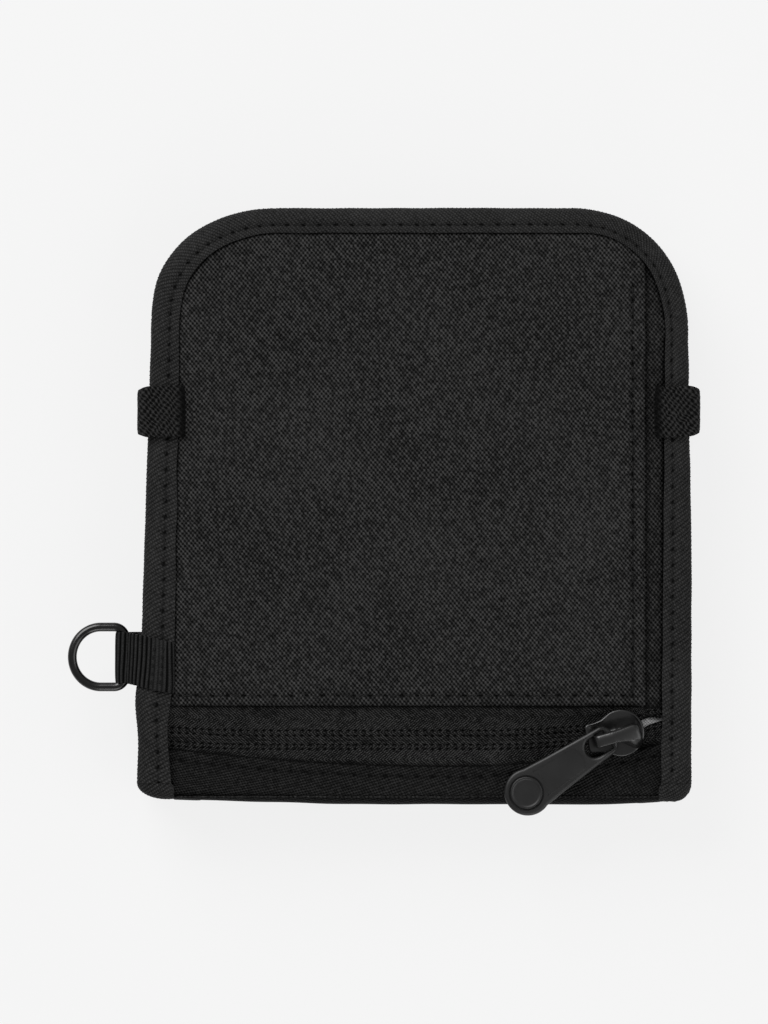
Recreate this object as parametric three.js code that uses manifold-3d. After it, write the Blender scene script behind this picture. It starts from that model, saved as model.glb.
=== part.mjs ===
// A small nylon folding pouch, closed and lying on its back.
// Two bound halves are joined by a soft spine at the bottom. The upper half carries a slip
// pocket that opens to the right, a zipped coin pocket, an elastic closing band and a D-ring.
//
// Millimetres. The origin is on the flat back panel, +X is to the right of the zipped face,
// +Y runs from the fold to the open end and +Z points out of the zipped face.

import * as THREE from 'three';
import { mergeVertices } from 'three/addons/utils/BufferGeometryUtils.js';
import Module from 'manifold-3d';

const wasm = await Module();
wasm.setup();

// Driving dimensions

const OUTER_EDGE = {
  leftTop: -50.5, leftBottom: -53.4, rightTop: 51.3, rightBottom: 52.0,
  top: 56.6, leftCorner: [25.0, 21.0], rightCorner: [20.5, 24.0],
};
const TAPE_EDGE = {
  leftTop: -45.2, leftBottom: -46.6, rightTop: 47.2, rightBottom: 46.4,
  top: 51.7, leftCorner: [20.0, 17.0], rightCorner: [16.3, 19.5],
};
const FOLD_Y = -56.6;             // outside of the fold
const HALF_BOTTOM = -54.6;        // where both halves stop and the spine begins
const CORNER_STEPS = 7;

const GAP = 0.3;                  // between neighbouring layers
const TAPE_WALL = 0.8;            // binding tape round the outer edge
const TAPE_LEG = 0.6;             // binding tape on either face
const TONGUE_INSET = 1.2;         // how far a sewn-in panel stays inside the outer edge

const BACK = {
  low: 1.3, high: 6.4,
  panel: [0, 2.1, 2.7], stiffener: [3.0, 3.6], lining: [3.9, 4.3],
  upperPocket: [4.6, 4.9], lowerPocket: [5.2, 5.5, 6.3],
};
const FRONT_LOW = 7.3;
const FRONT = {
  low: FRONT_LOW, high: FRONT_LOW + 7.9,
  lining: [FRONT_LOW + 0.1, FRONT_LOW + 0.9, FRONT_LOW + 1.4],
  coinLining: [FRONT_LOW + 1.8, FRONT_LOW + 2.3],
  coil: [FRONT_LOW + 3.7, FRONT_LOW + 4.8],
  tape: [FRONT_LOW + 5.1, FRONT_LOW + 5.6],
  basePanel: [FRONT_LOW + 4.8, FRONT_LOW + 5.6],
  strip: [FRONT_LOW + 5.9, FRONT_LOW + 6.7],
  pocket: [FRONT_LOW + 5.9, FRONT_LOW + 6.6, FRONT_LOW + 7.8],
};

const POCKET = { right: 43.4, bottom: -37.9 };
const CARD_TOP = { lower: 18.0, upper: 28.0 };

const BAND = { centreY: 18.0, width: 9.7, thickness: 1.0, left: -53.2, right: 53.8,
  leftEnd: -44.5, rightEnd: 45.6, low: 0.15, corner: 1.6 };

const RING = { barX: -55.3, farX: -65.45, centreY: -28.7, halfHeight: 5.7, wire: 1.7,
  cornerRadius: 1.2, armEndX: -60.2, splitGap: 0.4, sides: 8 };
const LOOP = { width: 8.6, centreY: -28.8, thickness: 0.4, innerEnd: -46.9, shoulder: -53.4,
  lowerEnd: -48.0, clearance: 0.35 };

const ZIP = { y: -44.6, rise: 2.9, bendX: 14, endX: 46.4, tapeTop: -37.0, tapeBottom: -52.6,
  tapeHalfLength: 49.5, coilWidth: 1.2, coilSetback: 0.15, steps: 14 };
const SEAM = { lowY: -49.9, lowX: 6, leftRise: 3.3, rightRise: 4.2, halfLength: 50.4 };
const SLIDER = { x: 38.76, y: -43.1, turn: THREE.MathUtils.degToRad(10.5), shoulder: 4.45,
  rear: -6.6, rearHalf: 2.7, topPlate: 1.2, bottomPlate: 0.8, postHalf: 1.1, post: [1.0, 3.8] };
const CROWN = { front: 3.4, rear: -5.2, halfWidth: 0.95, thickness: 1.0, inner: 2.3,
  turn: THREE.MathUtils.degToRad(5), seat: 0.1 };
const PULLER = { heading: THREE.MathUtils.degToRad(213.5), tilt: THREE.MathUtils.degToRad(1.5),
  thickness: 1.5, tip: 18.9, tipRadius: 4.5, neckHalf: 2.9, waistHalf: 3.6, waist: 13,
  bar: 0.72, slotEnd: 5.5, slotHalf: 1.9, footAlong: 2.5, footAside: 0.7, lift: 0.35 };

// Materials

const nylon = { color: 0x262626, roughness: 0.85, metalness: 0 };
const tapeCloth = { color: 0x2a2a2a, roughness: 0.9, metalness: 0 };
const greyLining = { color: 0xa8a8a8, roughness: 0.8, metalness: 0 };
const blackMetal = { color: 0x2b2b2c, roughness: 0.35, metalness: 0.8 };
const coilPlastic = { color: 0x1c1c1c, roughness: 0.5, metalness: 0 };
const elastic = { color: 0x232323, roughness: 0.95, metalness: 0 };

// Helpers

function mesh(name, geometry, look) {
  geometry.computeVertexNormals();
  const made = new THREE.Mesh(geometry, new THREE.MeshStandardMaterial(look));
  made.name = name;
  return made;
}

function toSolid(geometry) {
  const bare = geometry.clone();
  bare.deleteAttribute('normal');
  bare.deleteAttribute('uv');
  const merged = mergeVertices(bare, 1e-4);
  return new wasm.Manifold(new wasm.Mesh({
    numProp: 3,
    vertProperties: new Float32Array(merged.attributes.position.array),
    triVerts: new Uint32Array(merged.index.array),
  }));
}

function toGeometry(solid) {
  const result = solid.getMesh();
  const geometry = new THREE.BufferGeometry();
  geometry.setAttribute('position', new THREE.BufferAttribute(result.vertProperties, 3));
  geometry.setIndex(new THREE.BufferAttribute(result.triVerts, 1));
  return geometry;
}

// An upright slab of a closed outline of [x, y] points.
function slab(points, low, high) {
  const shape = new THREE.Shape(points.map(([x, y]) => new THREE.Vector2(x, y)));
  const geometry = new THREE.ExtrudeGeometry(shape, { depth: high - low, bevelEnabled: false });
  return geometry.translate(0, 0, low);
}

// A profile of [x, z] points, drawn out along Y about a centre.
function alongY(points, centreY, width) {
  const shape = new THREE.Shape(points.map(([x, z]) => new THREE.Vector2(x, z)));
  const geometry = new THREE.ExtrudeGeometry(shape, { depth: width, bevelEnabled: false });
  return geometry.rotateX(Math.PI / 2).translate(0, centreY + width / 2, 0);
}

function box(x, y, z) {
  const geometry = new THREE.BoxGeometry(x[1] - x[0], y[1] - y[0], z[1] - z[0]);
  return geometry.translate((x[0] + x[1]) / 2, (y[0] + y[1]) / 2, (z[0] + z[1]) / 2);
}

function arc(centre, radii, from, to, steps) {
  return Array.from({ length: steps + 1 }, (_, i) => {
    const angle = from + (to - from) * i / steps;
    return [centre[0] + radii[0] * Math.cos(angle), centre[1] + radii[1] * Math.sin(angle)];
  });
}

function spread(from, to, steps) {
  return Array.from({ length: steps + 1 }, (_, i) => from + (to - from) * i / steps);
}

// The outline of one half: straight slanted sides and two elliptical top corners.
function halfOutline(edge, inset, bottom) {
  const left = [edge.leftTop + edge.leftCorner[0], edge.top - edge.leftCorner[1]];
  const right = [edge.rightTop - edge.rightCorner[0], edge.top - edge.rightCorner[1]];
  const share = (corner) => (corner[1] - bottom) / (corner[1] - FOLD_Y);
  const leftFoot = edge.leftTop + (edge.leftBottom - edge.leftTop) * share(left);
  const rightFoot = edge.rightTop + (edge.rightBottom - edge.rightTop) * share(right);
  const shrink = ([rx, ry]) => [rx - inset, ry - inset];
  return [
    [leftFoot + inset, bottom],
    ...arc(left, shrink(edge.leftCorner), Math.PI, Math.PI / 2, CORNER_STEPS),
    ...arc(right, shrink(edge.rightCorner), Math.PI / 2, 0, CORNER_STEPS),
    [rightFoot - inset, bottom],
  ];
}

// A band of even thickness along a path of points, as a closed outline.
function ribbon(path, thickness) {
  const side = (sign) => path.map((point, i) => {
    const before = path[Math.max(i - 1, 0)];
    const after = path[Math.min(i + 1, path.length - 1)];
    const run = [after[0] - before[0], after[1] - before[1]];
    const reach = sign * thickness / 2 / Math.hypot(...run);
    return [point[0] - run[1] * reach, point[1] + run[0] * reach];
  });
  return [...side(1), ...side(-1).reverse()];
}

// The two halves' bound edges and sewn-in panels

// Folded tape round three sides of a half, with a slot that takes the panels' edges.
function binding(name, half) {
  const outer = toSolid(slab(halfOutline(OUTER_EDGE, 0, HALF_BOTTOM), half.low, half.high));
  const below = HALF_BOTTOM - 1;
  const window = slab(halfOutline(TAPE_EDGE, 0, below), half.low - 1, half.high + 1);
  const slotEdges = halfOutline(OUTER_EDGE, TAPE_WALL, below);
  const slot = slab(slotEdges, half.low + TAPE_LEG, half.high - TAPE_LEG);
  return mesh(name, toGeometry(outer.subtract(toSolid(window)).subtract(toSolid(slot))), tapeCloth);
}

function sheet(bottom, [low, high]) {
  return slab(halfOutline(OUTER_EDGE, TONGUE_INSET, bottom), low, high);
}

function inlay(bottom, [low, high]) {
  return slab(halfOutline(TAPE_EDGE, GAP, bottom), low, high);
}

function backPanel() {
  const [face, tongueLow, tongueHigh] = BACK.panel;
  const whole = toSolid(inlay(HALF_BOTTOM, [face, tongueHigh]))
    .add(toSolid(sheet(HALF_BOTTOM, [tongueLow, tongueHigh])));
  const reach = BAND.width / 2 + 2 * GAP;
  const groove = box([-60, 60], [BAND.centreY - reach, BAND.centreY + reach], [-1, BACK.low + 0.1]);
  return mesh('back_panel', toGeometry(whole.subtract(toSolid(groove))), nylon);
}

function cardPocket(name, top, layers) {
  const high = layers[layers.length - 1];
  const cut = toSolid(box([-60, 60], [top, 60], [0, high + 1]));
  let whole = toSolid(sheet(HALF_BOTTOM, [layers[0], layers[1]]));
  if (high > layers[1]) {
    whole = whole.add(toSolid(inlay(HALF_BOTTOM, [layers[0], high])));
  }
  return mesh(name, toGeometry(whole.subtract(cut)), nylon);
}

function frontLining() {
  const [low, tongueLow, high] = FRONT.lining;
  const whole = toSolid(inlay(HALF_BOTTOM, [low, high]))
    .add(toSolid(sheet(HALF_BOTTOM, [tongueLow, high])));
  return mesh('front_lining', toGeometry(whole), nylon);
}

function basePanel() {
  return mesh('front_base_panel', sheet(ZIP.tapeTop + GAP, FRONT.basePanel), nylon);
}

// The slip pocket's outer panel: bound at the left and top, hemmed and free at the right.
function pocketPanel() {
  const [low, tongueHigh, high] = FRONT.pocket;
  const whole = toSolid(inlay(POCKET.bottom, [low, high]))
    .add(toSolid(sheet(POCKET.bottom, [low, tongueHigh])));
  const free = toSolid(box([POCKET.right, 60], [-60, 60], [0, 20]));
  return mesh('front_pocket_panel', toGeometry(whole.subtract(free)), nylon);
}

// The zip

function zipY(x) {
  const along = Math.max(0, x - ZIP.bendX) / (ZIP.endX - ZIP.bendX);
  return ZIP.y + ZIP.rise * along ** 2;
}

// Half the gap between the two tapes: shut behind the slider's post, open round it.
function zipHalfGap(x) {
  const shut = GAP / 2;
  const open = SLIDER.postHalf + GAP + 0.2;
  const stations = [[-Infinity, shut], [36.5, shut], [39.2, open], [43.6, open], [ZIP.endX, 0.6]];
  const next = stations.findIndex(([station]) => x < station);
  if (next < 0) {
    return 0.6;
  }
  const [x0, gap0] = stations[next - 1];
  const [x1, gap1] = stations[next];
  return Number.isFinite(x0) ? gap0 + (gap1 - gap0) * (x - x0) / (x1 - x0) : shut;
}

function zipStations(left, right) {
  return [
    ...spread(left, ZIP.bendX, 2),
    ...spread(ZIP.bendX, right, ZIP.steps).slice(1),
  ];
}

function zipTape(name, side, far) {
  const near = zipStations(-ZIP.tapeHalfLength, ZIP.tapeHalfLength)
    .map((x) => [x, zipY(x) + side * zipHalfGap(x)]);
  const outline = [...near, [ZIP.tapeHalfLength, far], [-ZIP.tapeHalfLength, far]];
  return mesh(name, slab(outline, ...FRONT.tape), nylon);
}

function zipCoil(name, side) {
  const row = (setback) => zipStations(TAPE_EDGE.leftBottom, TAPE_EDGE.rightBottom - 1)
    .map((x) => [x, zipY(x) + side * (zipHalfGap(x) + setback)]);
  const outline = [...row(ZIP.coilSetback), ...row(ZIP.coilSetback + ZIP.coilWidth).reverse()];
  return mesh(name, slab(outline, ...FRONT.coil), coilPlastic);
}

function seamY(x) {
  const side = Math.sign(x - SEAM.lowX);
  const rise = side < 0 ? SEAM.leftRise : SEAM.rightRise;
  const reach = side < 0 ? SEAM.lowX - TAPE_EDGE.leftBottom : TAPE_EDGE.rightBottom - SEAM.lowX;
  return SEAM.lowY + rise * (Math.abs(x - SEAM.lowX) / reach) ** 2;
}

function bottomStrip() {
  const top = spread(-SEAM.halfLength, SEAM.halfLength, 12).map((x) => [x, seamY(x)]);
  const outline = [...top, [SEAM.halfLength, HALF_BOTTOM], [-SEAM.halfLength, HALF_BOTTOM]];
  return mesh('bottom_strip', slab(outline, ...FRONT.strip), nylon);
}

// The spine

function spinePart(name, x, y, look) {
  const low = BACK.low + GAP;
  const high = FRONT.high - 1.0 - GAP;
  return mesh(name, box(x, y, [low, high]), look);
}

function spine() {
  const outside = [FOLD_Y, FOLD_Y + 0.8];
  const inside = [FOLD_Y + 1.1, FOLD_Y + 1.6];
  const left = TAPE_EDGE.leftBottom;
  const right = TAPE_EDGE.rightBottom;
  return [
    spinePart('spine_panel', [left + GAP / 2, right - GAP / 2], outside, nylon),
    spinePart('spine_lining', [left, right], inside, nylon),
    spinePart('spine_binding_left', [OUTER_EDGE.leftBottom + 0.4, left - GAP / 2], outside, tapeCloth),
    spinePart('spine_binding_right', [right + GAP / 2, OUTER_EDGE.rightBottom - 0.4], outside, tapeCloth),
  ];
}

// The elastic band: sewn at both ends to the front face and passing behind the back half.
function elasticBand() {
  const half = BAND.thickness / 2;
  const low = BAND.low + half;
  const high = FRONT.high + 0.2 + half;
  const left = BAND.left + half;
  const right = BAND.right - half;
  const bend = (x, z, from) => arc([x, z], [BAND.corner, BAND.corner], from, from + Math.PI / 2, 4);
  const path = [
    [BAND.leftEnd, high],
    ...bend(left + BAND.corner, high - BAND.corner, Math.PI / 2),
    ...bend(left + BAND.corner, low + BAND.corner, Math.PI),
    ...bend(right - BAND.corner, low + BAND.corner, 1.5 * Math.PI),
    ...bend(right - BAND.corner, high - BAND.corner, 0),
    [BAND.rightEnd, high],
  ];
  return mesh('elastic_band', alongY(ribbon(path, BAND.thickness), BAND.centreY, BAND.width), elastic);
}

// The D-ring and the webbing that holds it

function ringHeight() {
  return (BACK.high + FRONT.low) / 4 + FRONT.high / 2 + 0.2;
}

function ringLoop() {
  const half = LOOP.thickness / 2;
  const upper = FRONT.high + 0.2 + half;
  const lower = (BACK.high + FRONT.low) / 2;
  const radius = RING.wire / 2 + LOOP.clearance + half;
  const centre = [RING.barX, ringHeight()];
  const from = THREE.MathUtils.degToRad(75);
  const path = [
    [LOOP.innerEnd, upper],
    [LOOP.shoulder, upper],
    ...arc(centre, [radius, radius], from, 2 * Math.PI - from, 8),
    [LOOP.shoulder, lower],
    [LOOP.lowerEnd, lower],
  ];
  return mesh('ring_loop', alongY(ribbon(path, LOOP.thickness), LOOP.centreY, LOOP.width), tapeCloth);
}

// One bent wire, with its butt joint in the middle of the bar, inside the webbing.
function dRing() {
  const { barX, armEndX, farX, halfHeight, cornerRadius: r, splitGap } = RING;
  const quarter = Math.PI / 2;
  const half = [
    [barX, splitGap / 2],
    ...arc([barX - r, halfHeight - r], [r, r], 0, quarter, 4),
    ...arc([armEndX, 0], [armEndX - farX, halfHeight], quarter, Math.PI, 7),
  ];
  const mirrored = half.slice(0, -1).reverse().map(([x, y]) => [x, -y]);
  const path = new THREE.CurvePath();
  const points = [...half, ...mirrored].map(([x, y]) => new THREE.Vector3(x, y + RING.centreY, ringHeight()));
  points.slice(1).forEach((point, i) => path.add(new THREE.LineCurve3(points[i], point)));
  const section = new THREE.Shape(
    arc([0, 0], [RING.wire / 2, RING.wire / 2], 0, 2 * Math.PI, RING.sides).slice(1)
      .map(([x, y]) => new THREE.Vector2(x, y)),
  );
  const geometry = new THREE.ExtrudeGeometry(section, { steps: 44, extrudePath: path });
  return mesh('d_ring', geometry, blackMetal);
}

// The slider, in its own frame: +X towards its rounded shoulder, z up from the pouch's origin

function sliderPlate(low, high) {
  const { shoulder, rear, rearHalf } = SLIDER;
  const turn = THREE.MathUtils.degToRad(115);
  const outline = [
    [rear, -rearHalf], [rear + 2.2, -rearHalf - 0.3],
    ...arc([0, 0], [shoulder, shoulder], -turn, turn, 12),
    [rear + 2.2, rearHalf + 0.3], [rear, rearHalf],
  ];
  return toSolid(slab(outline, low, high));
}

function sliderTop() {
  return FRONT.strip[1] + GAP + SLIDER.topPlate;
}

function sliderBody() {
  const lowTop = FRONT.coil[0] - GAP;
  const postX = (SLIDER.post[0] + SLIDER.post[1]) / 2;
  const radii = [(SLIDER.post[1] - SLIDER.post[0]) / 2, SLIDER.postHalf];
  const postOutline = arc([postX, 0], radii, 0, 2 * Math.PI, 10).slice(1);
  const post = toSolid(slab(postOutline, lowTop - 0.2, sliderTop() - SLIDER.topPlate + 0.2));
  const whole = sliderPlate(sliderTop() - SLIDER.topPlate, sliderTop())
    .add(sliderPlate(lowTop - SLIDER.bottomPlate, lowTop))
    .add(post);
  return mesh('slider_body', toGeometry(whole), blackMetal);
}

function sliderCrown() {
  const half = CROWN.thickness / 2;
  const foot = sliderTop() + CROWN.seat;
  const ridge = sliderTop() + CROWN.inner + half;
  const path = [
    [CROWN.rear + half, foot], [CROWN.rear + half, ridge - 0.9], [CROWN.rear + half + 0.5, ridge - 0.2],
    [CROWN.rear + 1.8, ridge], [CROWN.front - 2.4, ridge],
    [CROWN.front - half - 0.6, ridge - 0.3], [CROWN.front - half, ridge - 1.1], [CROWN.front - half, foot],
  ];
  const geometry = alongY(ribbon(path, CROWN.thickness), 0, 2 * CROWN.halfWidth);
  geometry.translate(-CROWN.front, 0, 0).rotateZ(CROWN.turn).translate(CROWN.front, 0, 0);
  return mesh('slider_crown', geometry, blackMetal);
}

function crownRearFoot() {
  const reach = CROWN.front - CROWN.rear - CROWN.thickness / 2;
  return new THREE.Vector2(
    CROWN.front - reach * Math.cos(CROWN.turn),
    -reach * Math.sin(CROWN.turn),
  );
}

// Where the puller's cross bar lies, set back from the crown's rear foot along the puller.
function pullerPivot() {
  const heading = PULLER.heading - SLIDER.turn;
  const along = new THREE.Vector2(Math.cos(heading), Math.sin(heading));
  const aside = new THREE.Vector2(along.y, -along.x);
  const local = crownRearFoot()
    .addScaledVector(along, -PULLER.footAlong)
    .addScaledVector(aside, -PULLER.footAside);
  local.rotateAround(new THREE.Vector2(0, 0), SLIDER.turn);
  const height = sliderTop() + PULLER.lift + PULLER.thickness / 2;
  return new THREE.Vector3(SLIDER.x + local.x, SLIDER.y + local.y, height);
}

// The puller, in its own frame: +X from the cross bar to the round end, centred on z = 0.
function pullerTab() {
  const { bar, neckHalf, waistHalf, waist, tip, tipRadius, thickness, slotEnd, slotHalf } = PULLER;
  const turn = THREE.MathUtils.degToRad(125);
  const outline = [
    [-bar, neckHalf - 0.8], [-bar, -neckHalf + 0.8], [-bar + 0.8, -neckHalf],
    [waist, -waistHalf],
    ...arc([tip, 0], [tipRadius, tipRadius], -turn, turn, 14),
    [waist, waistHalf], [-bar + 0.8, neckHalf],
  ];
  const slotEndCentre = slotEnd - slotHalf;
  const slot = [
    [bar, slotHalf], [bar, -slotHalf],
    ...arc([slotEndCentre, 0], [slotHalf, slotHalf], -Math.PI / 2, Math.PI / 2, 6),
  ];
  const plate = toSolid(slab(outline, -thickness / 2, thickness / 2));
  const hole = toSolid(slab(slot, -thickness, thickness));
  return mesh('puller', toGeometry(plate.subtract(hole)), blackMetal);
}

// Assembly

const backHalf = new THREE.Group();
backHalf.add(
  backPanel(),
  mesh('back_stiffener', sheet(HALF_BOTTOM, BACK.stiffener), coilPlastic),
  mesh('back_lining', sheet(HALF_BOTTOM, BACK.lining), nylon),
  cardPocket('card_pocket_upper', CARD_TOP.upper, BACK.upperPocket),
  cardPocket('card_pocket_lower', CARD_TOP.lower, BACK.lowerPocket),
  binding('binding_back', BACK),
);

const frontHalf = new THREE.Group();
frontHalf.add(
  frontLining(),
  mesh('coin_pocket_lining', sheet(HALF_BOTTOM, FRONT.coinLining), greyLining),
  basePanel(),
  pocketPanel(),
  zipTape('zipper_tape_upper', 1, ZIP.tapeTop),
  zipTape('zipper_tape_lower', -1, ZIP.tapeBottom),
  zipCoil('zipper_coil_upper', 1),
  zipCoil('zipper_coil_lower', -1),
  bottomStrip(),
  binding('binding_front', FRONT),
  elasticBand(),
  ringLoop(),
);

const slider = new THREE.Group();
slider.add(sliderBody(), sliderCrown());
slider.position.set(SLIDER.x, SLIDER.y, 0);
slider.rotation.z = SLIDER.turn;

const puller = new THREE.Group();
puller.add(pullerTab());
puller.position.copy(pullerPivot());
puller.rotation.set(0, PULLER.tilt, PULLER.heading, 'ZYX');

const pouch = new THREE.Group();
pouch.add(backHalf, ...spine(), frontHalf, slider, puller, dRing());

export default pouch;
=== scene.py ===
"""A small black nylon folding pouch, closed and lying on its back, seen from its zipped face.

Shapes are worked out in millimetres, in the frame of the CAD model, and are scaled to metres as
each mesh is made. Every cloth mesh carries a texture layer that is also in millimetres, so that
each weave has its real pitch.
"""

import math

import bmesh
import bpy
import numpy as np
from mathutils import Matrix, Vector


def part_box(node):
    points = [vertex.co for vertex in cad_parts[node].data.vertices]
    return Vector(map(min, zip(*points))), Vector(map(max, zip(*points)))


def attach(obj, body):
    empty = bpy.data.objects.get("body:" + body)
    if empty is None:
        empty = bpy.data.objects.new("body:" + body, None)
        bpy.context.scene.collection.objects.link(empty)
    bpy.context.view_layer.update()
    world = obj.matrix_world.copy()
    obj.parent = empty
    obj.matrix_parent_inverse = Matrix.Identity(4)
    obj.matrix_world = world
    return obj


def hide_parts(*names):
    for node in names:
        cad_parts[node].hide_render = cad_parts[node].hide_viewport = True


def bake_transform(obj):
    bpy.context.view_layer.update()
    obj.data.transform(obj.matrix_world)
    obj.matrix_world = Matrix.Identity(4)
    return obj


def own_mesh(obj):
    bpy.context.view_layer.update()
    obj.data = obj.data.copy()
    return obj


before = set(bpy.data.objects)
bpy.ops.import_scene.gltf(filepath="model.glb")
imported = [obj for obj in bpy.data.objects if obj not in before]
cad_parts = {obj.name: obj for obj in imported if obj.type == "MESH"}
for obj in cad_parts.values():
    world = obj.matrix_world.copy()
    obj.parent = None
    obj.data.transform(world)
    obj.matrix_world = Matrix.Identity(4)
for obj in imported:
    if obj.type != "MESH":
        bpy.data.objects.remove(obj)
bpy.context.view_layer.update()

MM = 0.001


def span(node):
    """A CAD node's lowest and highest corners, in millimetres."""
    low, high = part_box(node)
    return np.array(low) / MM, np.array(high) / MM


# Driving dimensions, in millimetres

OUTER_EDGE = {
    "left": (-50.5, -53.4), "right": (51.5, 52.2), "top": 56.7,
    "left_corner": (25.0, 21.0), "right_corner": (23.0, 24.0),
    "left_bow": (-0.85, -37.0, 5.0), "right_bow": (0.35, -8.0, 25.0),
}
TAPE_EDGE = {
    "left": (-45.2, -46.6), "right": (47.2, 46.4), "top": 52.0,
    "left_corner": (20.0, 17.0), "right_corner": (16.3, 19.5),
    "left_bow": (-1.1, -43.0, 7.5), "right_bow": (0.0, 0.0, 10.0),
}
CORNER_POWER = 2.22     # a little squarer than an ellipse
STRETCH_LENGTHS = (90, 36, 56, 35, 87)  # left side, left corner, top, right corner, right side
TONGUE_INSET = 1.2      # the panels stop this far inside the outer edge
NO_LIMIT = 60.0         # past every edge of the pouch

HALF_BOTTOM = span("binding_front")[0][1]
FOLD_Y = span("spine_panel")[0][1]
MID_SPINE = 7.6         # where the cloths and tapes of the two halves meet
FRONT_LOW, FRONT_HIGH = span("binding_front")[0][2], span("binding_front")[1][2]
BACK_LOW, BACK_HIGH = span("binding_back")[0][2], span("binding_back")[1][2]

TAPE_WALL = 0.8
TAPE_LEG = 0.6
BINDING_STEP = 0.25     # from one ring of the binding's mesh to the next
BINDING_ROUND = 2.2
BINDING_LEG = 3.0       # flat width of a leg, from its lip to the round
SAG_LENGTH = 3.5        # of the wall that sinks in
BINDING_END = -52.7     # below it the tape turns the corner and goes over the fold
FOOT = {"left": {"y": -55.75, "reach": 5.8}, "right": {"y": -56.2, "reach": 3.4}}
FOLD_ROUND = 2.4
RIB_PITCH = 0.66        # of the binding's diagonal ribs
RIB_TURN = 36           # degrees from the tape's length
SEAM_OFFSET = 1.7       # binding seam from the binding's inner edge
SEAM_PITCH = 3.0
HOLE = {"long": 0.36, "wide": 0.19}     # half sizes of a needle hole

HEM = {"right": 43.4, "bottom": -37.9, "right_seam": 41.0, "bottom_seam": -36.0, "round": 0.45,
       "right_seam_top": 44.0}
BASE_TUCK = 1.7         # how far the base panel runs on below its CAD solid
CARD_TOP = {"lower": 18.0, "upper": 28.0}

BAND = {"y": 18.0, "width": 9.7, "thickness": 1.0, "left": -53.2, "right": 53.8,
        "left_end": -44.5, "right_end": 45.6, "low": 0.15, "corner": 1.6}
RING = {"bar_x": -55.5, "arm_x": -60.2, "far_x": -65.65, "y": -28.7, "z": 11.225,
        "half_height": 5.7, "wire": 1.7, "corner": 2.2}
LOOP = {"inner_end": -46.9, "shoulder": -53.4, "lower_end": -48.0, "y": -28.8,
        "width": 9.7, "thickness": 0.6, "clearance": 0.42, "rib": 0.84, "seams": (-50.1, -48.4),
        "over_edge": ((-50.4, 0), (-51.6, 0.25), (-52.5, 0.65), (-53.3, 1.2), (-54.2, 2.0))}
ZIP = {"y": -44.6, "rise": 2.9, "bend_x": 14.0, "end_x": 46.4, "left_bend_x": -29.0,
       "coil_pitch": 1.46, "half_length": 49.5, "near": 3.2, "keep": 0.78}
TAPES = {
    "upper": {"side": 1, "far": -37.0, "rows": (0.95, 1.9), "coil_shift": 0.73},
    "lower": {"side": -1, "far": -52.6, "rows": (0.78, 1.6), "coil_shift": 0.0},
}
STRIP_SEAM = {"y": -49.6, "x": 6.0, "left_rise": 3.3, "right_rise": 4.2, "inset": 1.9}
SLIDER = {"x": 38.76, "y": -43.1, "turn": math.radians(10.5), "shoulder": 4.45,
          "rear": -6.6, "rear_half": 2.7, "round": math.radians(112), "top": 1.2, "bottom": 0.8}
CROWN = {"front": 3.4, "rear": -5.2, "turn": math.radians(5), "half": 1.12, "run_down": 5.4,
         "window_rear": -4.25, "window_front": -0.35, "window_top": 0.85}
PULLER = {"pivot": (36.769, -43.849, 16.6), "heading": math.radians(213.5),
          "tilt": math.radians(1.5), "thickness": 1.5, "tip": 18.9, "tip_radius": 4.5,
          "neck_half": 2.9, "waist_half": 3.72, "waist": 12.6, "bar": 0.72, "bar_end": 0.86,
          "slot_end": 5.5, "slot_half": 1.9, "disc": 3.4, "disc_at": 19.2, "recess": 0.62,
          "panel_round": 4.15}

CAMERA = {"x": -6.3, "y": -1.1, "z": 2177.6, "lens": 400}
SCENE_RADIUS = 3.0      # metres of floor round the pouch
LIGHTS = {              # place and size in metres, then power
    "key": ((-0.6, 0.85, 0.75), 0.9, 19),
    "fill": ((0.9, -0.3, 0.6), 1.1, 7),
    "rim": ((0.1, -0.9, 0.45), 0.5, 3),
}


# Small shape helpers

def smooth(low, high, value):
    """0 below low, 1 above high and a soft step between."""
    share = np.clip((value - low) / (high - low), 0, 1)
    return share * share * (3 - 2 * share)


def bell(value, centre, width):
    return np.exp(-(((value - centre) / width) ** 2))


def dot(along, across, length, width):
    """A needle hole: 1 over a small oval, then falling away softly."""
    return np.clip(1.7 * bell(along, 0, length) * bell(across, 0, width), 0, 1)


def waves(seed, x, y, size, count=6):
    """A smooth seeded unevenness of about -1 to 1, with waves of about the size given."""
    random = np.random.default_rng(seed)
    total = 0
    for _ in range(count):
        heading = random.uniform(0, 2 * math.pi)
        length = size * random.uniform(0.7, 1.7)
        along = x * math.cos(heading) + y * math.sin(heading)
        total = total + np.sin(2 * math.pi * along / length + random.uniform(0, 2 * math.pi))
    return total / count ** 0.5 / 1.5


def straight(start, end, steps):
    return np.linspace(start, end, steps, endpoint=False)


def arc(centre, radii, start, end, steps, endpoint=False):
    angle = np.linspace(start, end, steps, endpoint=endpoint)
    return np.stack([centre[0] + radii[0] * np.cos(angle), centre[1] + radii[1] * np.sin(angle)], -1)


def lengths_along(path):
    """Distance run at each point of a path."""
    runs = np.linalg.norm(np.diff(path, axis=0), axis=1)
    return np.concatenate([[0], np.cumsum(runs)])


def nearest(points, targets):
    """Distance from each point to the nearest target, both in the plane."""
    flat = points.reshape(-1, 2)
    best = np.full(len(flat), 1e9)
    for target in targets:
        gap = np.hypot(flat[:, 0] - target[0], flat[:, 1] - target[1])
        best = np.minimum(best, gap)
    return best.reshape(points.shape[:-1])


def surface_normals(grid):
    """Unit normals of a grid of points, from its rows and columns."""
    normal = np.cross(np.gradient(grid, axis=1), np.gradient(grid, axis=0))
    return normal / np.maximum(np.linalg.norm(normal, axis=-1, keepdims=True), 1e-9)


# The outline of one half

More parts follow.
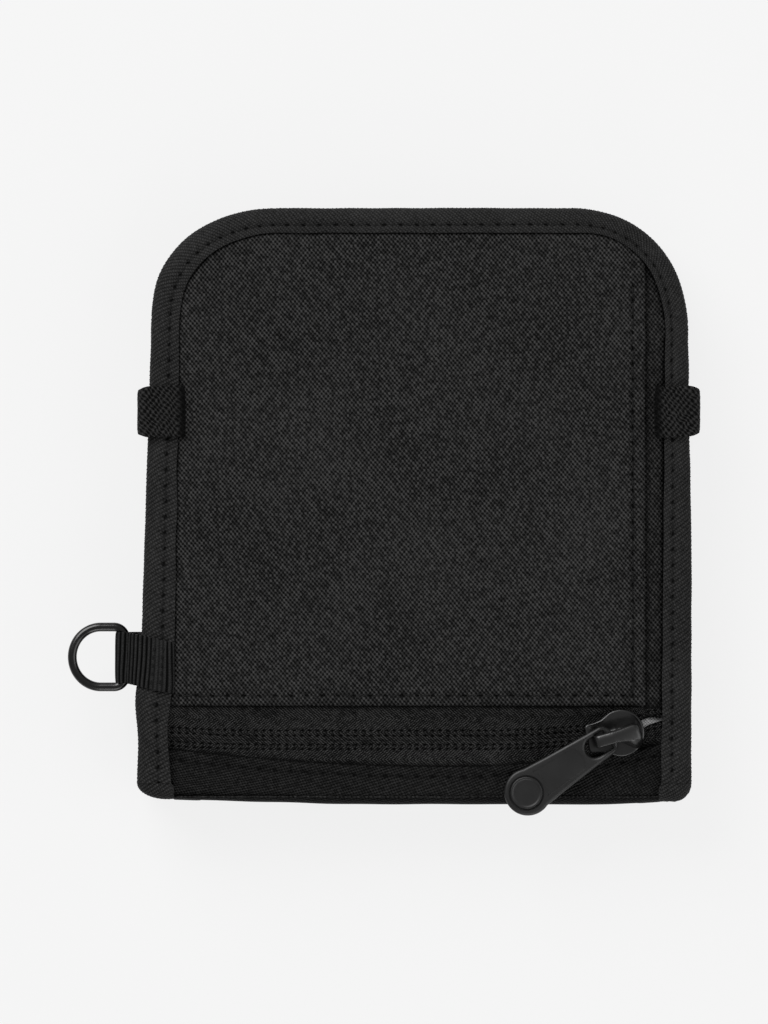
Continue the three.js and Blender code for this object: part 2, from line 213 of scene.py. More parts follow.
def bow(edge, side, y):
    """The slight bulge of a side, from the strap sewn over it or from handling."""
    amount, centre, width = edge[side + "_bow"]
    return amount * bell(y, centre, width)


def side_x(edge, side, y, inset=0.0):
    """Where an outline's left or right side is at a height y, with an inset towards the middle."""
    sign = 1 if side == "left" else -1
    top_x, bottom_x = edge[side]
    reach, drop = edge[side + "_corner"]
    start_y = edge["top"] - drop
    slope = np.clip((start_y - y) / (start_y - FOLD_Y), 0, None)
    rise = np.clip((y - start_y) / (drop - inset), 0, 1)
    corner = (reach - inset) * (1 - (1 - rise ** CORNER_POWER) ** (1 / CORNER_POWER))
    return top_x + (bottom_x - top_x) * slope + bow(edge, side, y) + sign * (inset + corner)


def corner_arc(centre, radii, start, end, steps):
    """Part of a superellipse."""
    angle = np.linspace(start, end, steps, endpoint=False)
    power = 2 / CORNER_POWER

    def spread(share):
        return np.sign(share) * np.abs(share) ** power

    return np.stack([centre[0] + radii[0] * spread(np.cos(angle)),
                     centre[1] + radii[1] * spread(np.sin(angle))], -1)


def half_path(edge, step, inset=0.0):
    """A half's outline from the left foot over the top to the right foot."""
    counts = [round(length / step) for length in STRETCH_LENGTHS]
    (left_reach, left_drop), (right_reach, right_drop) = edge["left_corner"], edge["right_corner"]
    left = np.array([edge["left"][0] + left_reach, edge["top"] - left_drop])
    right = np.array([edge["right"][0] - right_reach, edge["top"] - right_drop])
    left_radii = (left_reach - inset, left_drop - inset)
    right_radii = (right_reach - inset, right_drop - inset)
    quarter = math.pi / 2
    left_y = straight(BINDING_END, left[1], counts[0])
    right_y = np.linspace(right[1], BINDING_END, counts[4])
    arcs = np.concatenate([
        corner_arc(left, left_radii, math.pi, quarter, counts[1]),
        straight(left + (0, left_radii[1]), right + (0, right_radii[1]), counts[2]),
        corner_arc(right, right_radii, quarter, 0, counts[3]),
    ])
    left_bow, right_bow = bow(edge, "left", arcs[:, 1]), bow(edge, "right", arcs[:, 1])
    arcs[:, 0] += np.where(arcs[:, 0] < 0, left_bow, right_bow)
    return np.concatenate([
        np.stack([side_x(edge, "left", left_y, inset), left_y], -1),
        arcs,
        np.stack([side_x(edge, "right", right_y, inset), right_y], -1),
    ])


TAPE_PATH = half_path(TAPE_EDGE, 0.8)


def inside_tape_edge(x, y):
    """Distance inside the binding's inner edge: below 0 under the binding."""
    gap = nearest(np.stack([x, y], -1), TAPE_PATH)
    top = np.minimum(y, TAPE_EDGE["top"] - 0.001)
    inside = (x > side_x(TAPE_EDGE, "left", top)) & (x < side_x(TAPE_EDGE, "right", top))
    return np.where(inside & (y < TAPE_EDGE["top"]), gap, -gap)


# Meshes

def add_object(name, data):
    made = bpy.data.objects.new(name, data)
    bpy.context.scene.collection.objects.link(made)
    return made


def make_piece(name, points, faces, corner_uv, material, painted_shade=None, sharp=None):
    """A smooth mesh object from points in millimetres, with a texture point for each corner."""
    mesh = bpy.data.meshes.new(name)
    mesh.from_pydata((points * MM).tolist(), [], [list(map(int, face)) for face in faces])
    mesh.uv_layers.new(name="mm").data.foreach_set("uv", corner_uv.astype(np.float32).ravel())
    # Painted shade: how dark each point is painted in creases, holes and under edges, taken out of the
    # cloth's colour
    if painted_shade is not None:
        layer = mesh.attributes.new("painted_shade", "FLOAT", "POINT")
        layer.data.foreach_set("value", painted_shade.astype(np.float32).ravel())
    tidy_mesh(mesh)
    mesh.materials.append(material)
    mesh.shade_smooth()
    if sharp is not None:
        mesh.set_sharp_from_angle(angle=math.radians(sharp))
    return add_object(name, mesh)


def tidy_mesh(mesh, merge=None):
    """Turns every face outwards and, if asked, joins points closer than merge."""
    work = bmesh.new()
    work.from_mesh(mesh)
    if merge is not None:
        bmesh.ops.remove_doubles(work, verts=work.verts, dist=merge)
    bmesh.ops.recalc_face_normals(work, faces=work.faces)
    work.to_mesh(mesh)
    work.free()


def quads(*corners):
    """Rows of four, one from each grid of corners."""
    return np.stack(corners, -1).reshape(-1, 4)


def sheet_piece(name, top, bottom, uv, material, painted_shade=None, sharp=None):
    """A closed sheet between two grids of points, with its four edges filled."""
    rows, columns = top.shape[:2]
    upper = np.arange(rows * columns).reshape(rows, columns)
    lower = upper + rows * columns
    faces = np.concatenate([
        quads(upper[:-1, :-1], upper[:-1, 1:], upper[1:, 1:], upper[1:, :-1]),
        quads(lower[:-1, :-1], lower[1:, :-1], lower[1:, 1:], lower[:-1, 1:]),
        quads(lower[0, :-1], lower[0, 1:], upper[0, 1:], upper[0, :-1]),
        quads(upper[-1, :-1], upper[-1, 1:], lower[-1, 1:], lower[-1, :-1]),
        quads(lower[1:, 0], lower[:-1, 0], upper[:-1, 0], upper[1:, 0]),
        quads(upper[1:, -1], upper[:-1, -1], lower[:-1, -1], lower[1:, -1]),
    ])
    points = np.concatenate([top.reshape(-1, 3), bottom.reshape(-1, 3)])
    vertex_uv = np.concatenate([uv.reshape(-1, 2)] * 2)
    if painted_shade is not None:
        painted_shade = np.concatenate([painted_shade.ravel(), np.zeros(painted_shade.size)])
    return make_piece(name, points, faces, vertex_uv[faces.ravel()], material, painted_shade, sharp)


def loft_piece(name, rings, uv, material, closed=False, painted_shade=None, sharp=None):
    """A closed skin over rings of points. uv has one more column than a ring has points."""
    count, around = rings.shape[:2]
    row = np.arange(count if closed else count - 1)[:, None]
    column = np.arange(around)[None, :]
    next_row, next_column = (row + 1) % count, (column + 1) % around
    faces = quads(row * around + column, row * around + next_column,
                  next_row * around + next_column, next_row * around + column)
    width = around + 1
    corners = quads(row * width + column, row * width + column + 1,
                    (row + 1) * width + column + 1, (row + 1) * width + column)
    faces, corners = faces.tolist(), corners.ravel().tolist()
    if not closed:
        last = (count - 1) * around
        faces += [list(range(around)), list(range(last, last + around))]
        last = (count - 1) * width
        corners += list(range(around)) + list(range(last, last + around))
    flat_uv = uv.reshape(-1, 2)[corners]
    return make_piece(name, rings.reshape(-1, 3), faces, flat_uv, material, painted_shade, sharp)


def fit(piece, body, slot, *nodes):
    """Rides on a body and stands for the CAD nodes, which it hides; the finish it is given is not used.
    """
    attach(piece, body)
    return finish_of(piece, slot, *nodes)


def finish_of(piece, slot, *nodes):
    """Hides the CAD nodes that a piece stands for; the finish it is given is not used."""
    if nodes:
        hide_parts(*nodes)
    return piece


def stitches(name, holes, heights, material, body, face=1, seam_slot="nylon"):
    """Running stitches between holes: short arched lengths of thread that dip at both ends."""
    thread, steps, sides = 0.15, 9, 8
    points = np.concatenate([holes, np.reshape(heights, (-1, 1))], 1)
    start, end = points[:-1, None, :], points[1:, None, :]
    share = np.linspace(0.17, 0.83, steps)[None, :, None]
    line = start + (end - start) * share
    arch = np.sin(np.pi * np.linspace(0, 1, steps)) ** 0.6
    line[:, :, 2] += face * (0.04 * arch[None, :] - 0.3 * (1 - arch[None, :]))
    heading = (end - start) / np.linalg.norm(end - start, axis=2, keepdims=True)
    side = np.cross(heading, [0, 0, 1.0])
    angle = np.linspace(0, 2 * np.pi, sides, endpoint=False)
    round_side = side[:, :, None, :] * np.cos(angle)[None, None, :, None]
    round_up = np.array([0, 0, 1.0]) * np.sin(angle)[None, None, :, None]
    taper = (0.75 + 0.25 * arch)[None, :, None, None]
    rings = line[:, :, None, :] + (round_side + round_up) * thread * taper
    faces = []
    corner_uv = []
    for index in range(len(rings)):
        base = index * steps * sides
        for i in range(steps - 1):
            for j in range(sides):
                k = (j + 1) % sides
                faces.append([base + i * sides + j, base + i * sides + k,
                              base + (i + 1) * sides + k, base + (i + 1) * sides + j])
                corner_uv += [(i, j), (i, j + 1), (i + 1, j + 1), (i + 1, j)]
        for end_row in (0, steps - 1):
            faces.append([base + end_row * sides + j for j in range(sides)])
            corner_uv += [(end_row, j) for j in range(sides)]
    corner_uv = np.array(corner_uv) * (SEAM_PITCH / steps, 0.13)
    made = make_piece(name, rings.reshape(-1, 3), faces, corner_uv, material)
    return fit(made, body, seam_slot)


def evaluated_mesh(piece):
    """A piece's mesh with its modifiers applied."""
    graph = bpy.context.evaluated_depsgraph_get()
    return bpy.data.meshes.new_from_object(piece.evaluated_get(graph), depsgraph=graph)


def apply_modifiers(piece):
    mesh = evaluated_mesh(piece)
    piece.modifiers.clear()
    piece.data = mesh
    return piece


def cut(piece, cutter):
    """Cuts one solid out of another and removes the cutter."""
    modifier = piece.modifiers.new("cut", "BOOLEAN")
    modifier.operation = "DIFFERENCE"
    modifier.solver = "EXACT"
    modifier.object = cutter
    apply_modifiers(piece)
    bpy.data.objects.remove(cutter)
    return piece


def plate(name, outlines, low, high, bevel, material):
    """A flat solid with rounded edges: the first outline is its outside, the rest are holes."""
    curve = bpy.data.curves.new(name, "CURVE")
    curve.dimensions = "2D"
    curve.fill_mode = "BOTH"
    for outline in outlines:
        spline = curve.splines.new("POLY")
        spline.points.add(len(outline) - 1)
        spline.points.foreach_set("co", [v for x, y in outline for v in (x, y, 0, 1)])
        spline.use_cyclic_u = True
    curve.extrude = (high - low) / 2 - bevel
    curve.bevel_depth = bevel
    curve.bevel_resolution = 3
    curve.offset = -bevel
    drawn = add_object(name, curve)
    mesh = evaluated_mesh(drawn)
    bpy.data.objects.remove(drawn)
    mesh.transform(Matrix.Translation((0, 0, (low + high) / 2)))
    tidy_mesh(mesh, merge=1e-4)
    mesh.materials.clear()
    mesh.materials.append(material)
    return add_object(name, mesh)


def into_place(piece, matrix, sharp=35):
    """Takes a solid from its own frame, in millimetres, to the pouch's, in metres."""
    piece.data.transform(Matrix.Scale(MM, 4) @ matrix)
    tidy_mesh(piece.data)
    piece.data.shade_smooth()
    piece.data.set_sharp_from_angle(angle=math.radians(sharp))
    return piece


def ring_solid(name, rings, look):
    """A closed skin over rings, left in millimetres until it is put into place."""
    uv = np.zeros((len(rings), rings.shape[1] + 1, 2))
    made = loft_piece(name, rings, uv, LOOKS[look])
    made.data.transform(Matrix.Scale(1 / MM, 4))
    return made


# Materials

class Wire:
    """A number in a material's node tree, with arithmetic."""

    def __init__(self, graph, socket):
        self.graph = graph
        self.socket = socket

    def __add__(self, other):
        return self.graph.math("ADD", self, other)

    def __sub__(self, other):
        return self.graph.math("SUBTRACT", self, other)

    def __rsub__(self, other):
        return self.graph.math("SUBTRACT", other, self)

    def __mul__(self, other):
        return self.graph.math("MULTIPLY", self, other)

    def __truediv__(self, other):
        return self.graph.math("DIVIDE", self, other)

    __radd__ = __add__
    __rmul__ = __mul__

    def wave(self):
        """1 at each whole number, -1 half way between."""
        return self.graph.math("COSINE", self * (2 * math.pi))

    def clamp(self):
        return self.graph.math("MAXIMUM", self, 0.0)

    def squared(self):
        return self.graph.math("MULTIPLY", self, self)

    def between(self, low, high):
        """1 between two numbers and 0 outside them."""
        above = self.graph.math("GREATER_THAN", self, low)
        return above * self.graph.math("LESS_THAN", self, high)

    def power(self, exponent):
        return self.graph.math("POWER", self.clamp(), exponent)


class Graph:
    """A material's node tree, with short calls for what the patterns need."""

    def __init__(self, name, **sockets):
        self.material = bpy.data.materials.new(name)
        self.material.use_nodes = True
        self.tree = self.material.node_tree
        self.shader = self.tree.nodes["Principled BSDF"]
        for socket, value in sockets.items():
            self.shader.inputs[socket.replace("_", " ")].default_value = value

    def node(self, kind, **settings):
        made = self.tree.nodes.new("ShaderNode" + kind)
        for key, value in settings.items():
            setattr(made, key, value)
        return made

    def feed(self, socket, value):
        if isinstance(value, Wire):
            value = value.socket
        if isinstance(value, bpy.types.NodeSocket):
            self.tree.links.new(value, socket)
        else:
            socket.default_value = value

    def math(self, operation, *values):
        made = self.node("Math", operation=operation)
        for socket, value in zip(made.inputs, values):
            self.feed(socket, value)
        return Wire(self, made.outputs[0])

    def millimetres(self):
        """The two texture coordinates, in millimetres."""
        layer = self.node("UVMap", uv_map="mm")
        parts = self.node("SeparateXYZ")
        self.feed(parts.inputs[0], layer.outputs["UV"])
        return Wire(self, parts.outputs["X"]), Wire(self, parts.outputs["Y"])

    def turned(self, x, y, degrees):
        """Two coordinates in axes that are turned by an angle."""
        cosine, sine = math.cos(math.radians(degrees)), math.sin(math.radians(degrees))
        return x * cosine + y * sine, y * cosine - x * sine

    def joined(self, x, y):
        """A vector for a noise from two numbers."""
        made = self.node("CombineXYZ")
        self.feed(made.inputs["X"], x)
        self.feed(made.inputs["Y"], y)
        return made.outputs[0]

    def noise(self, vector, scale, detail=2.0):
        """Soft noise of about -1 to 1."""
        made = self.node("TexNoise")
        self.feed(made.inputs["Vector"], vector)
        self.feed(made.inputs["Scale"], scale)
        self.feed(made.inputs["Detail"], detail)
        return Wire(self, made.outputs["Fac"]) * 4.0 - 2.0

    def cell_chance(self, x, y):
        """A number of 0 to 1 that is the same all over each puff of a weave."""
        made = self.node("TexWhiteNoise", noise_dimensions="2D")
        cell = self.joined(self.math("ROUND", x), self.math("ROUND", y))
        self.feed(made.inputs["Vector"], cell)
        return Wire(self, made.outputs["Value"])

    def needle_holes(self, along, across, pitch=SEAM_PITCH, size=1.0):
        """Slanted needle holes on the line where across is 0: 1 inside one, 0 away from it."""
        place = self.joined(along, across)
        across = across + self.noise(place, 0.25) * 0.09
        step = along + across * 0.7 + self.noise(place, 0.33) * 0.05 * pitch
        step = (self.math("FRACT", step / pitch + 0.5) - 0.5) * pitch
        reach = (step / (HOLE["long"] * size)).squared() + (across / (HOLE["wide"] * size)).squared()
        return self.math("MINIMUM", (1.7 - reach).clamp(), 1.0)

    def shadow(self):
        """What is left of the light under the painted shade that the mesh marks in creases and holes.
        """
        return 1 - self.math("MINIMUM", self.attribute("painted_shade") * 0.95, 1.0)

    def object_place(self):
        return self.node("TexCoord").outputs["Object"]

    def attribute(self, name):
        return Wire(self, self.node("Attribute", attribute_name=name).outputs["Fac"])

    def colour(self, dark, light, share):
        mix = self.node("Mix", data_type="RGBA")
        self.feed(mix.inputs[0], share.clamp())
        self.feed(mix.inputs[6], (*dark, 1.0))
        self.feed(mix.inputs[7], (*light, 1.0))
        self.feed(self.shader.inputs["Base Color"], mix.outputs[2])

    def relief(self, height, depth):
        """Height of 0 to 1 becomes a bump of that depth, in millimetres."""
        made = self.node("Bump")
        made.inputs["Strength"].default_value = 1.0
        made.inputs["Distance"].default_value = depth * MM
        self.feed(made.inputs["Height"], height)
        self.feed(self.shader.inputs["Normal"], made.outputs["Normal"])

    def roughness(self, value):
        self.feed(self.shader.inputs["Roughness"], value)


def grey(value, warmth=0.0):
    """A grey, a little redder and less blue with warmth."""
    return (value * (1 + warmth), value, value * (1 - warmth))


CLOTH_DARK = 0.0002     # what shows between the yarns


def cloth_graph(name):
    return Graph(name, Sheen_Weight=0.01, Sheen_Roughness=0.5, Specular_IOR_Level=0.05)


def weave_cloth(name, column, row, turn, light=0.0425, lean=0.45, seams=None):
    """Plain weave: puffs of yarn in a chequerboard, drawn out along one diagonal by lean."""
    graph = cloth_graph(name)
    flat_x, flat_y = graph.millimetres()
    place = graph.joined(flat_x, flat_y)
    x = flat_x + graph.noise(place, 0.35) * 0.06 + graph.noise(place, 1.1) * 0.045
    y = flat_y + graph.noise(place, 0.28) * 0.06 + graph.noise(place, 0.95) * 0.045
    u, v = graph.turned(x, y, turn)
    u, v = u / column, v / row
    across, along = (u + v) * 0.5, (u - v) * 0.5
    ridge = across.wave() * 0.5 + 0.5
    bead = along.wave() * 0.5 + 0.5
    chance = graph.cell_chance(across, along)
    fibre = graph.noise(place, 3.4, 3.0)
    puff = (1 - (1 - ridge) * (1 - bead * lean)) * (bead * 0.38 + 0.62)
    uneven = graph.noise(place, 0.045, 3.0) * 0.08 + graph.noise(place, 0.9) * 0.12
    lit = puff.power(1.35) * (chance * 0.8 + 0.55) + fibre * 0.2 + uneven - 0.06
    holes = seams(graph, flat_x, flat_y) if seams else 0.0
    # Painted shade from the mesh, and needle holes painted dark
    tone = lit * graph.shadow() * (1 - holes)
    graph.colour(grey(CLOTH_DARK), grey(light, 0.01), tone)
    graph.relief(puff + fibre * 0.08 - holes, 0.2)
    graph.roughness(0.62 - puff * 0.12)
    return graph.material


def pocket_seams(graph, x, y):
    """Needle holes of the pocket's two hems."""
    side = graph.needle_holes(y, x - HEM["right_seam"])
    bottom = graph.needle_holes(x, y - HEM["bottom_seam"])
    side = side * y.between(HEM["bottom_seam"] - 0.5, HEM["right_seam_top"])
    return side + bottom * x.between(TAPE_EDGE["left"][1], HEM["right_seam"] + 0.5)


def strip_seam(graph, x, y):
    """Needle holes below the bottom strip's upper edge."""
    return graph.needle_holes(x, y + STRIP_SEAM["inset"], size=0.8) * 0.5


def twill_tape(name, seam=None):
    """Binding tape: rows of small puffs on the diagonal ribs of the mesh."""
    graph = cloth_graph(name)
    x, y = graph.millimetres()
    place = graph.joined(x, y)
    u, v = graph.turned(x, y, RIB_TURN)
    across = u / RIB_PITCH + graph.noise(place, 0.5) * 0.06
    along = v / 0.46 + graph.math("ROUND", across) * 0.5
    ridge = across.wave() * 0.5 + 0.5
    bead = (along.wave() * 0.5 + 0.5) * (ridge * 0.7 + 0.3)
    fibre = graph.noise(place, 3.6, 3.0)
    height = ridge * 0.28 + bead * 0.5 + fibre * 0.08 + 0.1
    chance = graph.cell_chance(across, along)
    uneven = graph.noise(place, 0.08, 3.0) * 0.08 + graph.noise(place, 1.3) * 0.08
    lit = height.power(1.15) * (chance * 0.4 + 0.6) + fibre * 0.13 + uneven + 0.1
    holes = graph.needle_holes(x, y - seam, size=0.9) * 0.9 if seam else 0.0
    # Painted shade from the mesh, and needle holes painted dark
    tone = lit * graph.shadow() * (1 - holes)
    graph.colour(grey(0.0003), grey(0.037, 0.008), tone)
    graph.relief(height - holes, 0.12)
    graph.roughness(0.72 - height * 0.1)
    return graph.material


def herringbone_tape(name, hole_rows):
    """Zip tape: narrow bands of twill that change direction, sewn down over the coil."""
    graph = cloth_graph(name)
    x, y = graph.millimetres()
    place = graph.joined(x, y)
    x = x + graph.noise(place, 0.4) * 0.1
    swing = graph.math("PINGPONG", y + 1.0, 2.6)
    rib, knot = 0.62, 0.36
    across, along = (x + swing * 1.1) / rib, y / knot + x / (2 * rib)
    ridge = across.wave() * 0.5 + 0.5
    bead = along.wave() * 0.5 + 0.5
    fibre = graph.noise(place, 3.6, 3.0)
    height = ridge * (bead * 0.75 + 0.25) * 1.1 + fibre * 0.06
    chance = graph.cell_chance(across, along)
    uneven = graph.noise(place, 0.1, 3.0) * 0.1 + graph.noise(place, 0.8) * 0.12
    lit = height.power(1.1) * (chance * 1.1 + 0.55) + fibre * 0.26 + uneven - 0.05
    holes = 0.0
    for row in hole_rows:
        from_row = graph.math("ABSOLUTE", y) - row
        holes = holes + graph.needle_holes(x, from_row, pitch=ZIP["coil_pitch"], size=0.85)
    # Painted shade from the mesh, and needle holes painted dark
    tone = lit * graph.shadow() * (1 - holes)
    graph.colour(grey(CLOTH_DARK), grey(0.040, 0.01), tone)
    graph.relief(height - holes, 0.12)
    graph.roughness(0.7 - height * 0.1)
    return graph.material


def knitted_elastic(name):
    """Elastic: slanted knots of yarn with small dark holes between."""
    graph = cloth_graph(name)
    x, y = graph.millimetres()
    place = graph.joined(x, y)
    x = x + graph.noise(place, 0.6) * 0.25
    y = y + graph.noise(place, 0.55) * 0.25
    across, _ = graph.turned(x, y, 42)
    along, _ = graph.turned(x, y, -38)
    ridge = (across / 0.62).wave() * 0.5 + 0.5
    bead = (along / 0.95).wave() * 0.5 + 0.5
    fibre = graph.noise(place, 3.4, 3.0)
    height = (1 - (1 - ridge) * (1 - bead * 0.5)) * (bead * 0.35 + 0.65) + fibre * 0.08
    pits = (graph.noise(place, 0.2) * 0.5 + 0.4).clamp() * (1 - height) * 0.3
    lit = height.power(1.5) + fibre * 0.22 + graph.noise(place, 0.35) * 0.14 - pits
    # Painted shade from the mesh, where the band's ends meet the cloth
    tone = lit * (1 - graph.attribute("painted_shade"))
    graph.colour(grey(CLOTH_DARK), grey(0.027, 0.01), tone)
    graph.relief(height, 0.3)
    graph.roughness(0.75 - height * 0.1)
    return graph.material


def ribbed_webbing(name):
    """Grosgrain: the ribs are in the mesh, the yarns that cross them are here."""
    graph = cloth_graph(name)
    x, y = graph.millimetres()
    place = graph.joined(x, y)
    yarn = (y / 0.3 + graph.noise(place, 0.8) * 0.2).wave() * 0.5 + 0.5
    fibre = graph.noise(place, 3.4, 3.0)
    height = yarn * 0.3 + fibre * 0.12 + 0.4
    lit = height * 0.8 + fibre * 0.1 + graph.noise(place, 0.6) * 0.06
    # Painted shade from the mesh, in the grooves between the ribs
    tone = lit * (1 - graph.attribute("painted_shade"))
    graph.colour(grey(CLOTH_DARK), grey(0.034), tone)
    graph.relief(height, 0.07)
    graph.roughness(0.7 - height * 0.1)
    return graph.material


def thread_cloth(name):
    """Sewing thread: two strands twisted round each other."""
    graph = cloth_graph(name)
    x, y = graph.millimetres()
    twist = ((x + y * 1.2) / 0.3).wave()
    graph.colour(grey(0.0005), grey(0.020), twist * 0.4 + 0.5)
    graph.relief(twist * 0.5 + 0.5, 0.05)
    graph.roughness(0.55 - twist * 0.06)
    return graph.material


def lining_cloth(name, dark, light):
    """Thin plain-woven lining."""
    graph = cloth_graph(name)
    x, y = graph.millimetres()
    place = graph.joined(x, y)
    warp, weft = (x / 0.62).wave(), (y / 0.56).wave()
    height = warp * weft * 0.35 + graph.noise(place, 3.0) * 0.1 + 0.45
    # Painted shade from the mesh, where the mesh carries it
    tone = (height + graph.noise(place, 0.12, 3.0) * 0.15) * (1 - graph.attribute("painted_shade") * 0.8)
    graph.colour(grey(dark), grey(light), tone)
    graph.relief(height, 0.04)
    graph.roughness(0.6 - height * 0.08)
    return graph.material


def enamelled_metal(name, polish=0.0):
    """Black baked enamel on cast zinc: slight orange peel and smudges. Polish makes it shinier."""
    graph = Graph(name, Specular_IOR_Level=0.39 + polish, Coat_Weight=0.04, Coat_Roughness=0.3)
    place = graph.object_place()
    peel = graph.noise(place, 900.0)
    smudge = graph.noise(place, 160.0, 4.0)
    graph.colour(grey(0.002), grey(0.004, 0.01), smudge * 0.25 + 0.5)
    graph.relief(peel * 0.5 + 0.5, 0.006)
    graph.roughness(0.47 - polish + smudge * 0.05 + peel * 0.015)
    return graph.material


def black_nickel(name):
    """Dark plated wire with fine drawing marks."""
    graph = Graph(name, Metallic=1.0)
    place = graph.object_place()
    marks = graph.noise(place, 1500.0)
    cloud = graph.noise(place, 220.0, 3.0)
    graph.colour(grey(0.030), grey(0.050, 0.01), cloud * 0.3 + 0.5)
    graph.relief(marks * 0.5 + 0.5, 0.004)
    graph.roughness(0.27 + cloud * 0.05)
    return graph.material


def moulded_plastic(name, dark, light):
    """Extruded nylon or sheet plastic with a fine haze."""
    graph = Graph(name, Specular_IOR_Level=0.5)
    place = graph.object_place()
    haze = graph.noise(place, 400.0, 3.0)
    graph.colour(grey(dark), grey(light), haze * 0.3 + 0.5)
    graph.relief(haze * 0.5 + 0.5, 0.008)
    graph.roughness(0.45 + haze * 0.06)
    return graph.material


LOOKS = {
    "weave": weave_cloth("nylon_weave", 0.40, 0.48, 2.4),
    "hemmed": weave_cloth("nylon_weave_hemmed", 0.40, 0.48, 2.4, seams=pocket_seams),
    "strip": weave_cloth("nylon_weave_bias", 0.34, 0.40, 68.0, light=0.0175, lean=0.5,
                         seams=strip_seam),
    "inner": weave_cloth("nylon_weave_inner", 0.40, 0.44, 0.0, light=0.028),
    "tape": twill_tape("binding_twill", seam=SEAM_OFFSET),
    "fold_tape": twill_tape("binding_twill_at_fold"),
    "zip_upper": herringbone_tape("zip_tape_herringbone_upper", TAPES["upper"]["rows"]),
    "zip_lower": herringbone_tape("zip_tape_herringbone_lower", TAPES["lower"]["rows"]),
    "elastic": knitted_elastic("elastic_knit"),
    "webbing": ribbed_webbing("webbing_grosgrain"),
    "thread": thread_cloth("sewing_thread"),
    "grey": lining_cloth("grey_lining_cloth", 0.05, 0.42),
    "enamel": enamelled_metal("black_enamel"),
    "rubbed": enamelled_metal("rubbed_black_enamel", polish=0.14),
    "nickel": black_nickel("black_nickel_wire"),
    "coil": moulded_plastic("coil_nylon", 0.010, 0.030),
    "stiffener": moulded_plastic("stiffener_plastic", 0.02, 0.04),
}


# Binding tape round a half

def binding_paths(step):
    """The binding's outer edge, its direction inwards and its width at each station."""
    outer = half_path(OUTER_EDGE, step)
    inner = half_path(TAPE_EDGE, step)
    run = lengths_along(outer)
    width = np.linalg.norm(inner - outer, axis=1)
    across = (inner - outer) / width[:, None]
    ends = smooth(0, 4, run) * smooth(run[-1], run[-1] - 4, run)
    width = width + 0.1 * waves(3, run, 0, 14) * ends
    return outer, across, width, run


def foot_paths(side):
    """Outer edge, direction inwards and width below the binding's end, where the edge turns in."""
    foot = FOOT[side]
    start, inner_x = side_x(OUTER_EDGE, side, BINDING_END), side_x(TAPE_EDGE, side, BINDING_END)
    sign = 1 if side == "left" else -1
    drop = BINDING_END - foot["y"]
    angle = np.linspace(0, math.pi / 2, 45)
    bend = np.stack([start + sign * foot["reach"] * (1 - np.cos(angle)),
                     BINDING_END - drop * np.sin(angle)], -1)
    inner_end = inner_x + sign * 0.5
    along = np.linspace(bend[-1], (inner_end, foot["y"]), 8)[1:]
    outer = np.concatenate([bend, along])
    share = np.linspace(0, 1, len(outer))[:, None]
    inner = (1 - share) * (inner_x, BINDING_END) + share * (inner_end, foot["y"] + FOLD_ROUND + 0.1)
    width = np.linalg.norm(inner - outer, axis=1)
    return outer, (inner - outer) / width[:, None], width


def wall_sag(depth):
    """How far the tape sinks in at a depth below the face, half way down its wall most."""
    return 0.3 * np.sin(np.pi * np.clip((depth - BINDING_ROUND) / SAG_LENGTH, 0, 1))


def binding_profile(low, high):
    """The tape's folded section as rows of share of the width, extra inset, height and skin."""
    bend, wall = BINDING_ROUND, TAPE_WALL
    flat_wall = high - low - 2 * bend
    leg = np.linspace(1, 0, 15)[:-1]
    turn = np.linspace(0, np.pi / 2, 8)[:-1]
    side = np.linspace(0, 1, max(4, round(flat_wall / 0.5)) + 1)[:-1]
    top = [(share, (1 - share) * bend, high, 1) for share in leg]
    top_turn = [(0, bend - bend * np.sin(a), high - bend + bend * np.cos(a), 1) for a in turn]
    middle = [(0, wall_sag(bend + SAG_LENGTH * part), high - bend - part * flat_wall, 1)
              for part in side]
    bottom_turn = [(0, bend - bend * np.cos(a), low + bend - bend * np.sin(a), 1) for a in turn]
    bottom = [(1 - share, share * bend, low, 1) for share in leg]
    inner_leg = np.linspace(1, 0, 5)
    lower_inside = [(share, (1 - share) * wall, low + TAPE_LEG, 0) for share in inner_leg]
    upper_inside = [(share, (1 - share) * wall, high - TAPE_LEG, 0) for share in inner_leg[::-1]]
    rows = top + top_turn + middle + bottom_turn + bottom + [(1, 0, low, 1)]
    return np.array(rows + lower_inside + upper_inside)


